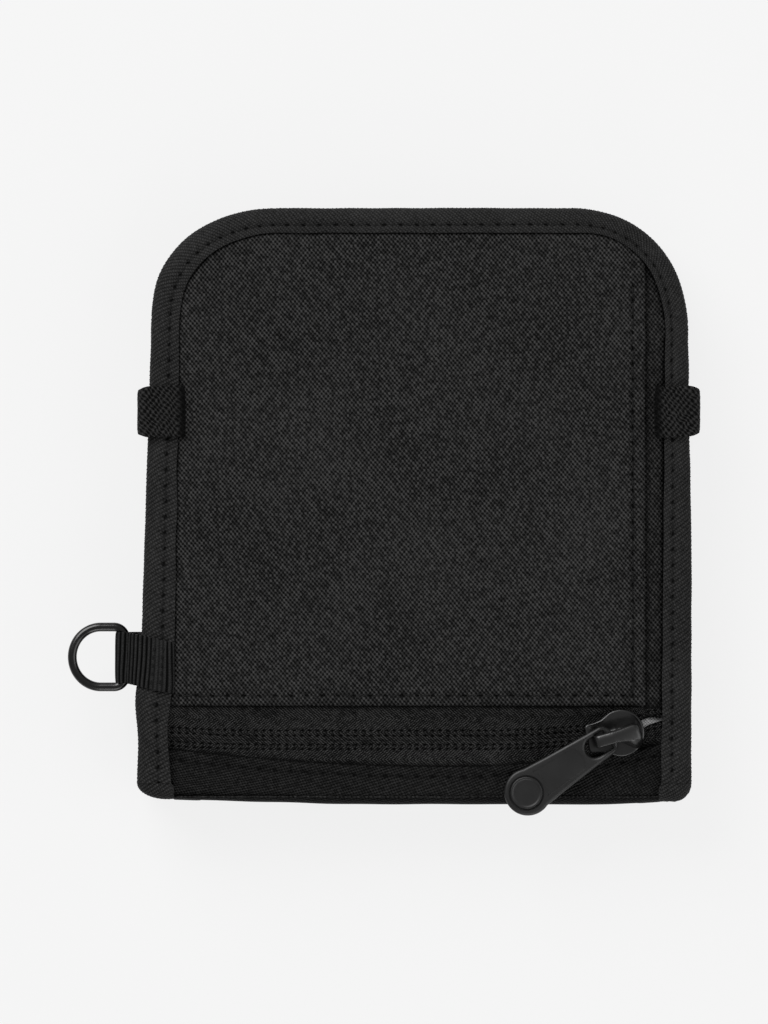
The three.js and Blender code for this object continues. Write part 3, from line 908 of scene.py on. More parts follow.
def binding(name, low, high, node, body, face):
    """One half's folded tape, with its seam on the outer face: 1 for the top, -1 for below."""
    outer, across, width, run = binding_paths(BINDING_STEP)
    share, extra, height, skin = binding_profile(low, high).T
    inward = width[:, None] * share + extra
    plan = outer[:, None, :] + across[:, None, :] * inward[..., None]
    level = np.broadcast_to(height, inward.shape)
    rings = np.concatenate([plan, level[..., None]], -1)
    normal = surface_normals(rings)
    corner = 16             # a column on the round corner, where the normals have to face out
    if (normal[:, corner, :2] * across).sum() > 0:
        normal = -normal
    section = np.stack([share * (BINDING_LEG + BINDING_ROUND) + extra, height], -1)
    developed = lengths_along(section)
    to_hole = np.abs((run + SEAM_PITCH / 2) % SEAM_PITCH - SEAM_PITCH / 2)[:, None]
    from_lip = (width[:, None] - inward) * BINDING_LEG / (width[:, None] - BINDING_ROUND)
    on_face = (skin * (np.abs(height - (high if face > 0 else low)) < 0.01))[None, :]
    groove = bell(from_lip, SEAM_OFFSET, 0.42)
    hole = dot(to_hole, from_lip - SEAM_OFFSET, 0.42, 0.36)
    pillow = bell(from_lip, 3.3, 1.1) + 0.6 * bell(from_lip, 0.55, 0.5)
    rib = binding_rib(run[:, None], developed) * (1 + smooth(1.6, 0.4, inward))
    sag = 0.06 * waves(8, run[:, None], developed[None, :] * 2, 9)
    sag = sag * (smooth(0, 4, run) * smooth(run[-1], run[-1] - 4, run))[:, None]
    lift = on_face * (0.1 * pillow - 0.12 * groove - 0.25 * hole) + skin * (rib + sag)
    rings += normal * lift[..., None]
    # Painted shade in the needle holes and the seam's groove
    painted_shade = on_face * np.clip(0.4 * hole + 0.1 * groove, 0, 1)
    uv = np.stack(np.broadcast_arrays(run[:, None], np.append(developed, developed[-1] + 0.6)), -1)
    made = loft_piece(name, rings, uv, LOOKS["tape"], painted_shade=painted_shade, sharp=60)
    return fit(made, body, "binding_tape", node)


def binding_rib(run, developed):
    """Diagonal ribs that meet those of the tape's look."""
    turn = math.radians(RIB_TURN)
    slant = run * math.cos(turn) + developed * math.sin(turn)
    return 0.05 * np.cos(2 * np.pi * slant / RIB_PITCH)


def binding_seam(name, level, body, face):
    """The line of stitches along a half's binding."""
    outer, across, width, run = binding_paths(BINDING_STEP)
    inward = width - SEAM_OFFSET * (width - BINDING_ROUND) / BINDING_LEG
    line = outer + across * inward[:, None]
    stops = np.arange(0, run[-1], SEAM_PITCH)
    holes = np.stack([np.interp(stops, run, line[:, 0]), np.interp(stops, run, line[:, 1])], -1)
    heights = np.full(len(holes), level - face * 0.16)
    return stitches(name, holes, heights, LOOKS["thread"], body, face, "binding_tape")


# Flat cloth panels

def row_heights(bottom, top, step, inset):
    """Row positions up a half: even up the straight sides, then closing up round the corners."""
    corner, corner_length = 33.0, 34
    if top <= corner:
        return np.linspace(bottom, top, round((top - bottom) / step) + 1)
    low = np.arange(bottom, corner, step)
    last = OUTER_EDGE["top"] - inset
    rise = np.arcsin(np.clip((top - corner) / (last - corner), 0, 1))
    angle = np.linspace(0, rise, max(6, round(corner_length / step * rise / (np.pi / 2))))
    return np.concatenate([low, corner + (last - corner) * np.sin(angle)])


def panel_grid(bottom, top, step, inset=TONGUE_INSET, right_limit=NO_LIMIT, shares=None):
    """A grid of points over a half, from its left edge to its right edge or a straight limit."""
    y = row_heights(bottom, top, step, inset)
    left = side_x(OUTER_EDGE, "left", y, inset)
    right = np.minimum(side_x(OUTER_EDGE, "right", y, inset), right_limit)
    right = np.maximum(right, left + 1)
    if shares is None:
        shares = np.linspace(0, 1, round(100 / step) + 1)
    x = left[:, None] + (right - left)[:, None] * shares[None, :]
    return x, np.broadcast_to(y[:, None], x.shape).copy()


def stack(x, y, z):
    """Points from three coordinates of any matching shapes."""
    return np.stack(np.broadcast_arrays(x, y, z), -1)


def panel(name, x, y, top, bottom, look, slot, body, *nodes, painted_shade=None):
    """A sheet of cloth over a grid, laid out flat for its weave."""
    made = sheet_piece(name, stack(x, y, top), stack(x, y, bottom), np.stack([x, y], -1),
                       LOOKS[look], painted_shade)
    return fit(made, body, slot, *nodes)


def hem_shares(width, fine, step, fine_step):
    """Column shares that close up over the last stretch before the right-hand hem."""
    coarse = np.arange(0, width - fine, step)
    close = np.linspace(width - fine, width, round(fine / fine_step) + 1)
    return np.concatenate([coarse, close]) / width


def rounded_edge(gap, radius):
    """How far a folded edge drops within a radius of its end."""
    depth = np.clip(radius - gap, 0, radius)
    return radius - np.sqrt(radius ** 2 - depth ** 2)


def hem_seam(fixed, start, end, upright):
    """Needle holes along a straight seam, at whole stitches."""
    along = np.arange(math.ceil(start / SEAM_PITCH), math.floor(end / SEAM_PITCH) + 1) * SEAM_PITCH
    line = np.full(len(along), fixed)
    return np.stack([line, along] if upright else [along, line], -1)


def pocket_panel():
    """The slip pocket's outer cloth: bound at the left and top, hemmed at the right and bottom."""
    shares = hem_shares(width=94.0, fine=4.0, step=0.5, fine_step=0.25)
    x, y = panel_grid(HEM["bottom"], NO_LIMIT, 0.46, right_limit=HEM["right"], shares=shares)
    inside = inside_tape_edge(x, y)
    right_gap, bottom_gap = HEM["right"] - x, y - HEM["bottom"]
    right_holes = hem_seam(HEM["right_seam"], HEM["bottom"] + 1.5, HEM["right_seam_top"],
                           upright=True)
    bottom_holes = hem_seam(HEM["bottom_seam"], TAPE_EDGE["left"][0], HEM["right_seam"] + 0.3,
                            upright=False)
    spots = np.concatenate([right_holes, bottom_holes])
    hole = dot(nearest(np.stack([x, y], -1), spots), 0, 0.44, 1)
    right_groove = bell(x, HEM["right_seam"], 0.55)
    bottom_groove = bell(y, HEM["bottom_seam"], 0.55)
    groove = np.maximum(right_groove, bottom_groove)
    top = FRONT_HIGH - 0.72 + 0.5 * smooth(-0.1, 0.7, inside) + 0.2 * smooth(0.8, 10, inside)
    top += 0.13 * waves(21, x, y, 34) * smooth(0, 12, inside)
    top += 0.05 * waves(22, x, y, 9) * smooth(0, 5, inside)
    top += 0.12 * (bell(right_gap, 1.1, 0.8) + bell(bottom_gap, 0.95, 0.7))
    top -= 0.16 * groove + 0.25 * hole
    top -= rounded_edge(right_gap, HEM["round"]) + rounded_edge(bottom_gap, HEM["round"])
    thickness = 0.5 + 0.35 * np.maximum(smooth(3.0, 2.2, right_gap), smooth(2.6, 1.8, bottom_gap))
    # Painted shade in the needle holes, the seam grooves and under the binding's lip
    painted_shade = np.clip(0.35 * hole + 0.14 * groove + 0.5 * smooth(0.2, -0.1, inside), 0, 1)
    made = panel("pocket_panel_cloth", x, y, top, top - thickness, "hemmed", "nylon",
                 "front_half", "front_pocket_panel", painted_shade=painted_shade)
    for name, holes in (("pocket_side_seam", right_holes), ("pocket_bottom_seam", bottom_holes)):
        heights = np.full(len(holes), FRONT_HIGH - 0.2)
        stitches(name, holes, heights, LOOKS["thread"], "front_half")
    return made


def base_panel():
    """The cloth behind the slip pocket, which shows between its hem and the right binding."""
    low, high = span("front_base_panel")
    shares = hem_shares(width=103.0, fine=13.0, step=1.5, fine_step=0.4)
    x, y = panel_grid(low[1] - BASE_TUCK, NO_LIMIT, 0.8, shares=shares)
    inside = inside_tape_edge(x, y)
    top = high[2] + 1.15 * smooth(36, 44.0, x) * smooth(-0.5, 0.5, inside)
    top += 0.06 * waves(31, x, y, 8) * smooth(36, 44, x)
    # Painted shade under the binding's edge, beside the pocket's right hem and below its bottom hem
    painted_shade = 0.5 * smooth(0.5, -0.1, inside) + 0.25 * bell(x, HEM["right"] + 0.1, 0.6)
    painted_shade += 0.5 * smooth(-36.0, -38.5, y)
    painted_shade += 0.25 * smooth(HEM["right"] - 0.5, HEM["right"], x)
    return panel("base_panel_cloth", x, y, top, top - 0.5, "weave", "nylon", "front_half",
                 "front_base_panel", painted_shade=np.clip(painted_shade, 0, 1))


def simple_panel(name, node, top_limit, look, slot, body, step=1.2, swell=0.0, seed=1):
    """A plain layer of the inside: a lining or a card pocket."""
    low, high = span(node)
    x, y = panel_grid(HALF_BOTTOM, top_limit, step)
    inside = inside_tape_edge(x, y)
    middle = (low[2] + high[2]) / 2
    ripple = 0.08 * waves(seed, x, y, 30) * smooth(0, 10, inside)
    level = middle + swell * smooth(0.0, 3.0, inside) + ripple
    return panel(name, x, y, level + 0.14, level - 0.14, look, slot, body, node)


# The zip

def zip_y(x):
    """The middle line of the zip, which rises towards its open end."""
    along = np.clip((x - ZIP["bend_x"]) / (ZIP["end_x"] - ZIP["bend_x"]), 0, None)
    left = np.clip((ZIP["left_bend_x"] - x) / 20, 0, None)
    return ZIP["y"] + ZIP["rise"] * along ** 2 + 1.2 * smooth(40.5, 44.5, x) + 0.8 * left ** 2


def zip_gap(x):
    """Half the gap between the tapes: shut behind the slider, open past its post."""
    stations = (36.5, 39.2, 43.2, 46.6, 50)
    return np.interp(x, stations, (0.0, 1.2, 0.85, 0.25, 0.15))


def zip_tape(word):
    """One tape: its near edge follows the zip, and two rows of sewing hold the coil under it."""
    side, far, hole_rows = (TAPES[word][key] for key in ("side", "far", "rows"))
    node = "zipper_tape_" + word
    x = np.linspace(-ZIP["half_length"], ZIP["half_length"], 620)
    near = np.linspace(0, ZIP["near"], 20)
    edge = side * (zip_y(x) + side * zip_gap(x))
    reach = side * far - edge
    rest = np.linspace(0, 1, 10)[1:]
    across = np.concatenate([np.broadcast_to(near[:, None], (20, x.size)),
                             ZIP["near"] + rest[:, None] * (reach - ZIP["near"])[None, :]])
    y = side * (edge[None, :] + across)
    x = np.broadcast_to(x, y.shape)
    from_middle = across + zip_gap(x)
    to_hole = ((x / ZIP["coil_pitch"] + 0.5) % 1 - 0.5) * ZIP["coil_pitch"]
    hole = sum(dot(to_hole, from_middle - row, 0.34, 0.24) for row in hole_rows)
    top = span(node)[1][2] + 0.35 * bell(from_middle, np.mean(hole_rows), 1.3)
    top += 0.3 * smooth(0.0, 5.5, across)
    top += 0.08 * waves(41 + side, x, y, 12) + 0.8 * smooth(-41.5, -38.4, y)
    top -= 0.35 * hole + 0.06 * bell(across, 0.0, 0.3)
    # Painted shade in the needle holes, at the open edge and under the cloth that lies over the tape
    painted_shade = np.clip(0.3 * hole + tape_shade(side, x, y, across), 0, 1)
    uv = np.stack([x, side * from_middle], -1)
    made = sheet_piece(f"zip_tape_{word}_cloth", stack(x, y, top), stack(x, y, top - 0.45), uv,
                       LOOKS["zip_" + word], painted_shade)
    return follow_slider(fit(made, "front_half", "zipper_tape", node))


def tape_shade(side, x, y, across):
    """Painted shade at a tape's open edge, and painted shadow where the cloth beside it lies over it.
    """
    shade = (0.15 + 0.8 * smooth(40, 43, x)) * bell(across, 0, 0.25)
    if side < 0:
        past_strip = y - strip_top(x)
        return shade + 0.95 * smooth(0.75 + 0.35 * waves(44, x, 0, 9), 0.05, past_strip)
    below_hem = HEM["bottom"] - y
    # A painted shadow line below the pocket's hem
    painted_hem_shadow = bell(below_hem, 1.7 + 0.5 * np.sin(x * 0.07), 0.22) * smooth(-5, 10, x)
    shade = shade + 0.95 * smooth(0.62 + 0.4 * waves(43, x, 0, 22), 0.15, below_hem)
    return shade + 0.5 * painted_hem_shadow


def follow_slider(piece):
    """Gives a tape or coil a mesh of its own."""
    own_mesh(piece)
    return piece


def zip_coil(word):
    """A nylon coil: one wire wound in flat loops along the tape's edge."""
    side, far, shift = (TAPES[word][key] for key in ("side", "far", "coil_shift"))
    node = "zipper_coil_" + word
    low, high = span(node)
    start, end = low[0] + 0.4, high[0] - 0.4
    turns = int((end - start) / ZIP["coil_pitch"])
    steps = turns * 14
    angle = np.linspace(0, 2 * np.pi * turns, steps)
    x = start + angle / (2 * np.pi) * ZIP["coil_pitch"] + shift
    y = zip_y(x) + side * (zip_gap(x) + 0.72 + 0.48 * np.cos(angle))
    z = (low[2] + high[2]) / 2 + 0.3 * np.sin(angle)
    wire = np.full(steps, 0.24)
    rings, uv = tube_rings(np.stack([x, y, z], -1), wire, 7, np.array([1.0, 0, 0]))
    made = loft_piece(f"zip_coil_{word}_wire", rings, uv, LOOKS["coil"])
    return follow_slider(fit(made, "front_half", "coil_plastic", node))


def tube_rings(path, radii, sides, reference):
    """Round rings along a path, all turned the same way by a reference direction."""
    heading = np.gradient(path, axis=0)
    heading /= np.linalg.norm(heading, axis=1, keepdims=True)
    first = reference - heading * (heading @ reference)[:, None]
    first /= np.linalg.norm(first, axis=1, keepdims=True)
    second = np.cross(heading, first)
    angle = np.linspace(0, 2 * np.pi, sides, endpoint=False)
    offsets = (first[:, None, :] * np.cos(angle)[None, :, None]
               + second[:, None, :] * np.sin(angle)[None, :, None])
    rings = path[:, None, :] + offsets * radii[:, None, None]
    around = np.linspace(0, 2 * np.pi * radii.mean(), sides + 1)
    uv = np.stack(np.broadcast_arrays(lengths_along(path)[:, None], around[None, :]), -1)
    return rings, uv


def strip_top(x):
    """The upper edge of the bottom strip, which curves up at both ends."""
    left_reach = STRIP_SEAM["x"] - TAPE_EDGE["left"][1]
    right_reach = TAPE_EDGE["right"][1] - STRIP_SEAM["x"]
    off = x - STRIP_SEAM["x"]
    left = STRIP_SEAM["left_rise"] * (off / left_reach) ** 2
    right = STRIP_SEAM["right_rise"] * (off / right_reach) ** 2
    return STRIP_SEAM["y"] + np.where(off < 0, left, right)


def fold_path(face_z, end_z, start_y, radius, steps):
    """Cloth from a face over a round corner and down the spine, as rows of y and z."""
    sign = 1 if face_z > end_z else -1
    centre = (FOLD_Y + radius, face_z - sign * radius)
    turn = np.linspace(0, np.pi / 2, steps)
    corner = np.stack([centre[0] - radius * np.sin(turn),
                       centre[1] + sign * radius * np.cos(turn)], -1)
    down = np.linspace(corner[-1], (FOLD_Y, end_z), 8)[1:]
    flat = np.linspace((start_y, face_z), corner[0], 6)[:-1]
    return np.concatenate([flat, corner, down])


def fold_rise(x):
    """How far the fold's lowest line comes up towards its two ends."""
    left = np.clip((-4.0 - x) / 42, 0, 1.2)
    right = np.clip((x - 36.0) / 10, 0, 1.2)
    return 0.95 * left ** 1.6 + 0.5 * right ** 1.5 - 0.15


def fold_columns(y, shares):
    """Columns of the cloth at the fold: under the binding above, between its feet below."""
    tuck = smooth(-51.0, -53.2, y)
    left = -50.4 + 4.0 * tuck
    right = 50.4 - 4.0 * tuck
    return left + (right - left) * shares


def bottom_strip():
    """The cloth below the zip: rounded off at its top edge, then over the fold to mid spine."""
    shares = np.linspace(0, 1, 280)
    edge = strip_top(fold_columns(np.full(280, -49.0), shares))
    face_z = span("bottom_strip")[1][2] - 0.1
    tail = fold_path(face_z, MID_SPINE, -53.2, FOLD_ROUND, 14)
    step = np.concatenate([np.linspace(0, 0.35, 14), np.linspace(0.35, 1, 14)[1:-1]])
    flat_y = edge[None, :] + (tail[0, 0] - edge)[None, :] * step[:, None]
    flat_rows = len(step)
    y = np.concatenate([flat_y, np.broadcast_to(tail[:, :1], (len(tail), edge.size))])
    z = np.concatenate([np.full((flat_rows, edge.size), face_z),
                        np.broadcast_to(tail[:, 1:], (len(tail), edge.size))])
    xs = fold_columns(y, shares[None, :])
    from_edge = strip_top(xs) - y
    y = y + fold_rise(xs) * smooth(-50.5, -55.0, y)
    grid = stack(xs, y, z)
    normal = surface_normals(grid)
    normal *= np.sign(normal[0, 100, 2])    # upwards on the face
    seam_gap = from_edge - STRIP_SEAM["inset"]
    on_flat = z > face_z - 0.5
    hole = dot((xs + 1.5) % SEAM_PITCH - 1.5, seam_gap, 0.42, 0.32) * on_flat
    lift = -rounded_edge(np.clip(from_edge, 0, None), 0.4) - 0.1 * bell(seam_gap, 0, 0.4) * on_flat
    lift += 0.1 * bell(from_edge, 0.7, 0.4) + 0.07 * waves(51, xs, y + z, 14) - 0.2 * hole
    top = grid + normal * lift[..., None]
    bottom = top - normal * 0.5
    over_fold = from_edge[flat_rows] + lengths_along(tail)[:, None]
    run = np.concatenate([from_edge[:flat_rows], over_fold])
    # Painted shade in the needle holes and the seam, and darker towards the fold where the cloth rolls
    # under
    painted_shade = 0.4 * hole + 0.35 * bell(seam_gap, 0, 0.3) * on_flat + 0.75 * smooth(-54.2, -56.6, y)
    painted_shade = np.clip(painted_shade, 0, 0.95)
    made = sheet_piece("bottom_strip_cloth", top, bottom, np.stack([xs, -run], -1),
                       LOOKS["strip"], painted_shade, sharp=60)
    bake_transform(made)
    return finish_of(made, "nylon", "bottom_strip", "spine_panel")


def spine_tape(name, side, face_z, node):
    """The binding tape where it turns the corner and goes over the fold to mid spine."""
    towards = 1 if face_z > MID_SPINE else -1
    outer, across, width = foot_paths(side)
    tape_run = lengths_along(half_path(OUTER_EDGE, BINDING_STEP))[-1]
    leg = np.linspace(1, 0, 15)[:-1]
    turn = np.linspace(0, np.pi / 2, 8)[:-1]
    wall = np.linspace(BINDING_ROUND, abs(face_z - MID_SPINE) - 0.03, 14)
    share = np.concatenate([leg, 0 * turn, 0 * wall])
    extra = np.concatenate([(1 - leg) * BINDING_ROUND, BINDING_ROUND * (1 - np.sin(turn)),
                            wall_sag(wall)])
    depth = np.concatenate([0 * leg, BINDING_ROUND * (1 - np.cos(turn)), wall])
    room = np.minimum(1, width / (BINDING_ROUND * 1.15))[:, None]
    inward = width[:, None] * share + extra * (room * (1 - share) + share * (1 - share))
    inward = np.minimum(inward, width[:, None])
    plan = outer[:, None, :] + across[:, None, :] * inward[..., None]
    from_foot = plan[..., 1] - FOOT[side]["y"]
    fold_drop = rounded_edge(np.clip(from_foot, 0, None), FOLD_ROUND)
    sunk = np.maximum(np.broadcast_to(depth, inward.shape), fold_drop)
    grid = np.concatenate([plan, (face_z - towards * sunk)[..., None]], -1)
    normal = surface_normals(grid)
    normal *= np.sign(normal[3, 5, 2]) * towards    # outwards on the leg
    outward = stack(-across[:, :1], -across[:, 1:], 0.8 * towards)
    outward /= np.linalg.norm(outward, axis=-1, keepdims=True)
    agrees = (normal * outward).sum(-1, keepdims=True) > 0.1
    normal = np.where(agrees, normal, outward)
    round_foot = np.linspace(0, 1, len(outer))[:, None] ** 0.5
    from_end = BINDING_END - plan[..., 1] + sunk * round_foot
    along = from_end + tape_run if side == "right" else -from_end
    over = np.abs(plan[..., 0] - side_x(TAPE_EDGE, side, BINDING_END)) + sunk * (1 - round_foot)
    top = grid + normal * binding_rib(along, over)[..., None]
    bottom = grid - normal * 0.6
    made = sheet_piece(name, top, bottom, np.stack([along, over], -1), LOOKS["fold_tape"], sharp=60)
    corner = (0, (BINDING_END - 0.6) * MM, face_z * MM)
    past = (0, (FOLD_Y + 0.4) * MM, (face_z - towards * 3.2) * MM)
    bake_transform(made)
    return finish_of(made, "binding_tape", node)


# The back

def back_panel():
    """The back's outer cloth: bound on three sides and running over the fold to mid spine."""
    x, y = panel_grid(-53.0, NO_LIMIT, 0.75)
    inside = inside_tape_edge(x, y)
    tuck = BACK_LOW + TAPE_LEG + 0.25
    low = tuck - (tuck - 0.08) * smooth(-0.1, 2.6, inside)
    under_band = smooth(BAND["width"] / 2 + 1.8, BAND["width"] / 2 + 0.2, np.abs(y - BAND["y"]))
    low += (BACK_LOW + 0.1 - low).clip(0) * under_band
    low += (0.05 + 0.05 * waves(61, x, y, 26)) * smooth(0, 8, inside)
    low = np.maximum(low, 0.02)
    columns = x.shape[1]
    tail = fold_path(low[0, columns // 2], MID_SPINE + 0.3, y[0, 0] - 0.4, 1.6, 12)
    tail[-8:, 0] += 0.25    # a little inside the bottom strip's own end
    tail_y, tail_z = tail[::-1, :1], tail[::-1, 1:]
    rows, flat_z = len(tail), tail[0, 1]
    level = np.where(inside[0] < 0.5, low[0], flat_z)
    tail_x = fold_columns(np.full((rows, 1), -54.0), np.linspace(0, 1, columns)[None, :])
    xs = np.concatenate([tail_x, x])
    ys = np.concatenate([np.broadcast_to(tail_y, (rows, columns)), y])
    zs = np.concatenate([tail_z + (level - flat_z)[None, :] * smooth(1.5, 0, tail_z - flat_z), low])
    ys = ys + fold_rise(xs) * smooth(-50.5, -55.0, ys)
    outside = stack(xs, ys, zs)
    normal = surface_normals(outside)
    normal *= np.sign(normal[rows + 20, 40, 2])     # into the pouch
    tail_v = y[0, 0] - lengths_along(tail)[::-1] - 0.4
    v = np.concatenate([np.broadcast_to(tail_v[:, None], (rows, columns)), y])
    made = sheet_piece("back_panel_cloth", outside + normal * 0.5, outside, np.stack([xs, v], -1),
                       LOOKS["weave"])
    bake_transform(made)
    return finish_of(made, "nylon", "back_panel")


def spine_lining():
    """The inside cloth across the fold, riding on the spine between the two halves."""
    low, high = span("spine_lining")
    x = np.linspace(low[0], high[0], 120)
    z = np.linspace(low[2], high[2], 20)
    xs, zs = np.meshgrid(x, z)
    y = (low[1] + high[1]) / 2 + 0.08 * waves(71, xs, zs, 12)
    made = sheet_piece("spine_lining_cloth", stack(xs, y - 0.15, zs), stack(xs, y + 0.15, zs),
                       np.stack([xs, zs], -1), LOOKS["inner"])
    return fit(made, "spine", "nylon", "spine_lining")


# Elastic band and webbing loop

def strap(name, path, centre_y, half_width, thickness, lift, look, columns=25, painted_shade=None):
    """A flat strap along a path of x and z, its width along y, with lift on its outer face."""
    heading = np.gradient(path, axis=0)
    heading /= np.linalg.norm(heading, axis=1, keepdims=True)
    outward = np.stack([-heading[:, 1], heading[:, 0]], -1)
    share = np.sin(np.linspace(-np.pi / 2, np.pi / 2, columns))
    across = half_width[:, None] * share[None, :]
    run = lengths_along(path)
    drift = np.gradient(centre_y, run)
    x = path[:, :1] - 0.3 * across * drift[:, None] * heading[:, :1]
    y = centre_y[:, None] + across
    thin = thickness * (0.35 + 0.65 * np.sqrt(np.clip(1 - np.abs(share) ** 6, 0, 1)))
    raise_by = thin[None, :] / 2 + lift(run[:, None], across)
    top = stack(x + outward[:, :1] * raise_by, y, path[:, 1:] + outward[:, 1:] * raise_by)
    sink = thin[None, :] / 2
    bottom = stack(x - outward[:, :1] * sink, y, path[:, 1:] - outward[:, 1:] * sink)
    uv = np.stack(np.broadcast_arrays(run[:, None], across), -1)
    shade = None if painted_shade is None else painted_shade(path, across)
    return sheet_piece(name, top, bottom, uv, LOOKS[look], shade)


def bent(centre, radius, start, steps):
    """A quarter turn, anticlockwise from its start."""
    return arc(centre, (radius, radius), start, start + np.pi / 2, steps)


def even_path(points, pitch):
    """Points a fixed pitch apart along a path, and its last point."""
    path = np.array(points)
    run = lengths_along(path)
    stops = np.arange(0, run[-1], pitch)
    even = np.stack([np.interp(stops, run, path[:, k]) for k in range(path.shape[1])], -1)
    return np.concatenate([even, path[-1:]])


def band_end(x, sign, high):
    """An end of the band, which bends down onto the binding. Sign is 1 at the left."""
    return [(x, high - 1.0), (x - sign * 0.25, high - 0.35), (x - sign * 0.9, high - 0.05)]


def elastic_band():
    """The closing band: right round both halves, with its ends on the binding, left and right."""
    half = BAND["thickness"] / 2
    low, high = BAND["low"] + half, FRONT_HIGH + 0.2 + half
    left, right, corner = BAND["left"] + half, BAND["right"] - half, BAND["corner"]
    quarter = np.pi / 2
    points = np.concatenate([
        band_end(BAND["left_end"], 1, high),
        bent((left + corner, high - corner), corner, quarter, 8),
        bent((left + corner, low + corner), corner, 2 * quarter, 8),
        bent((right - corner, low + corner), corner, 3 * quarter, 8),
        bent((right - corner, high - corner), corner, 0, 8),
        band_end(BAND["right_end"], -1, high)[::-1],
    ])
    path = even_path(points[::-1], 0.28)
    edge = np.minimum(path[:, 0] - BAND["left"], BAND["right"] - path[:, 0])
    neck = np.sqrt(np.clip(1 - (np.clip(2.6 - edge, 0, 2.6) / 2.75) ** 2, 0, 1))
    half_width = BAND["width"] / 2 - 1.7 * (1 - neck)
    centre = np.full(len(path), BAND["y"]) + 0.12 * np.sin(path[:, 0] * 0.5)

    def lift(run, across):
        """Two crossing rows of knots, and the band's own unevenness."""
        lattice = np.cos(2 * np.pi * (run * 0.62 + across * 0.79) / 0.72)
        lattice = lattice + np.cos(2 * np.pi * (run * 0.79 - across * 0.62) / 0.62)
        return 0.04 * lattice + 0.06 * waves(81, run, across, 5)

    def shade(path, across):
        """Painted shade where the two ends meet the cloth."""
        on_front = path[:, 1] > FRONT_HIGH - 1
        left_gap = np.abs(path[:, 0] - BAND["left_end"])
        right_gap = np.abs(path[:, 0] - BAND["right_end"])
        end = smooth(1.5, 0.2, np.minimum(left_gap, right_gap))
        return np.broadcast_to((0.95 * on_front * end)[:, None], across.shape)

    made = strap("elastic_band_knit", path, centre, half_width, BAND["thickness"], lift, "elastic",
                 columns=33, painted_shade=shade)
    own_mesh(fit(made, "front_half", "elastic", "elastic_band"))
    return made


def ring_loop():
    """Ribbed webbing: over the binding, round the ring's bar and back in between the halves."""
    half = LOOP["thickness"] / 2
    upper = FRONT_HIGH + 0.25 + half
    lower = (BACK_HIGH + FRONT_LOW) / 2
    radius = RING["wire"] / 2 + LOOP["clearance"] + half
    start, inner = math.radians(75), LOOP["inner_end"]
    points = np.concatenate([
        [(inner + 0.35, upper - 0.75), (inner + 0.1, upper - 0.2), (inner - 0.5, upper)],
        [(x, upper - drop) for x, drop in LOOP["over_edge"]],
        arc((RING["bar_x"], RING["z"]), (radius, radius), start, 2 * np.pi - start, 24, endpoint=True),
        [(LOOP["shoulder"], lower), (LOOP["lower_end"], lower)],
    ])
    path = even_path(points[::-1], 0.07)
    on_top = smooth(RING["z"] - 1, RING["z"] + 3, path[:, 1])
    centre_y = LOOP["y"] - 1.9 * smooth(-56.8, -45.5, path[:, 0]) * on_top
    half_width = np.full(len(path), LOOP["width"] / 2)
    sewn = smooth(-50.9, -50.2, path[:, 0]) * smooth(-47.6, -48.3, path[:, 0])
    crushed = (on_top * sewn)[:, None]

    def rib(run, across):
        """1 on a rib and 0 between two, with ribs that waver a little."""
        waver = 0.1 * np.sin(run * 0.9) + 0.12 * np.sin(across * 0.35 + run * 0.25)
        return np.abs(np.cos(np.pi * (run + waver) / LOOP["rib"]))

    def lift(run, across):
        return 0.42 * (rib(run, across) - 0.6) * (1 - 0.8 * crushed) - 0.12 * crushed

    def shade(path, across):
        # Painted shade in the grooves between the ribs, less where the webbing is sewn flat
        between = smooth(0.9, 0.42, rib(lengths_along(path)[:, None], across))
        return between * (1 - 0.4 * crushed)

    made = strap("ring_loop_webbing", path, centre_y, half_width, LOOP["thickness"], lift,
                 "webbing", columns=25, painted_shade=shade)
    fit(made, "front_half", "webbing", "ring_loop")
    for number, x in enumerate(LOOP["seams"]):
        y = np.arange(LOOP["y"] - 5.4, LOOP["y"] + 3.2, 1.55)
        holes = np.stack([x + 0.1 * np.sin(y * 3) + (y - LOOP["y"]) * 0.1, y], -1)
        stitches(f"ring_loop_seam_{number + 1}", holes, np.full(len(y), upper + 0.25),
                 LOOKS["thread"], "front_half", seam_slot="webbing")
    return made


def d_ring():
    """The ring: one round wire bent to a D, with its bar inside the webbing."""
    bar, arm, far = RING["bar_x"], RING["arm_x"], RING["far_x"]
    half, corner, quarter = RING["half_height"], RING["corner"], np.pi / 2
    upper = np.concatenate([
        straight((bar, 0), (bar, half - corner), 10),
        arc((bar - corner, half - corner), (corner, corner), 0, quarter, 14),
        straight((bar - corner, half), (arm, half), 10),
        arc((arm, 0), (arm - far, half), quarter, 2 * quarter, 48, endpoint=True),
    ])
    lower = (upper[1:-1] * (1, -1))[::-1]
    plan = np.concatenate([upper, lower])
    path = np.concatenate([plan + (0, RING["y"]), np.full((len(plan), 1), RING["z"])], 1)
    looped = np.concatenate([path[-2:], path, path[:2]])
    rings, _ = tube_rings(looped, np.full(len(looped), RING["wire"] / 2), 20, np.array([0, 0, 1.0]))
    rings = rings[2:-2]
    uv = np.zeros((len(rings) + 1, 21, 2))
    made = loft_piece("d_ring_wire", rings, uv, LOOKS["nickel"], closed=True)
    return fit(made, "d_ring", "ring_metal", "d_ring")


# Slider and puller

def slider_place():
    """From the slider's own frame, along the zip, to the pouch's."""
    return Matrix.Translation((SLIDER["x"], SLIDER["y"], 0)) @ Matrix.Rotation(SLIDER["turn"], 4, "Z")


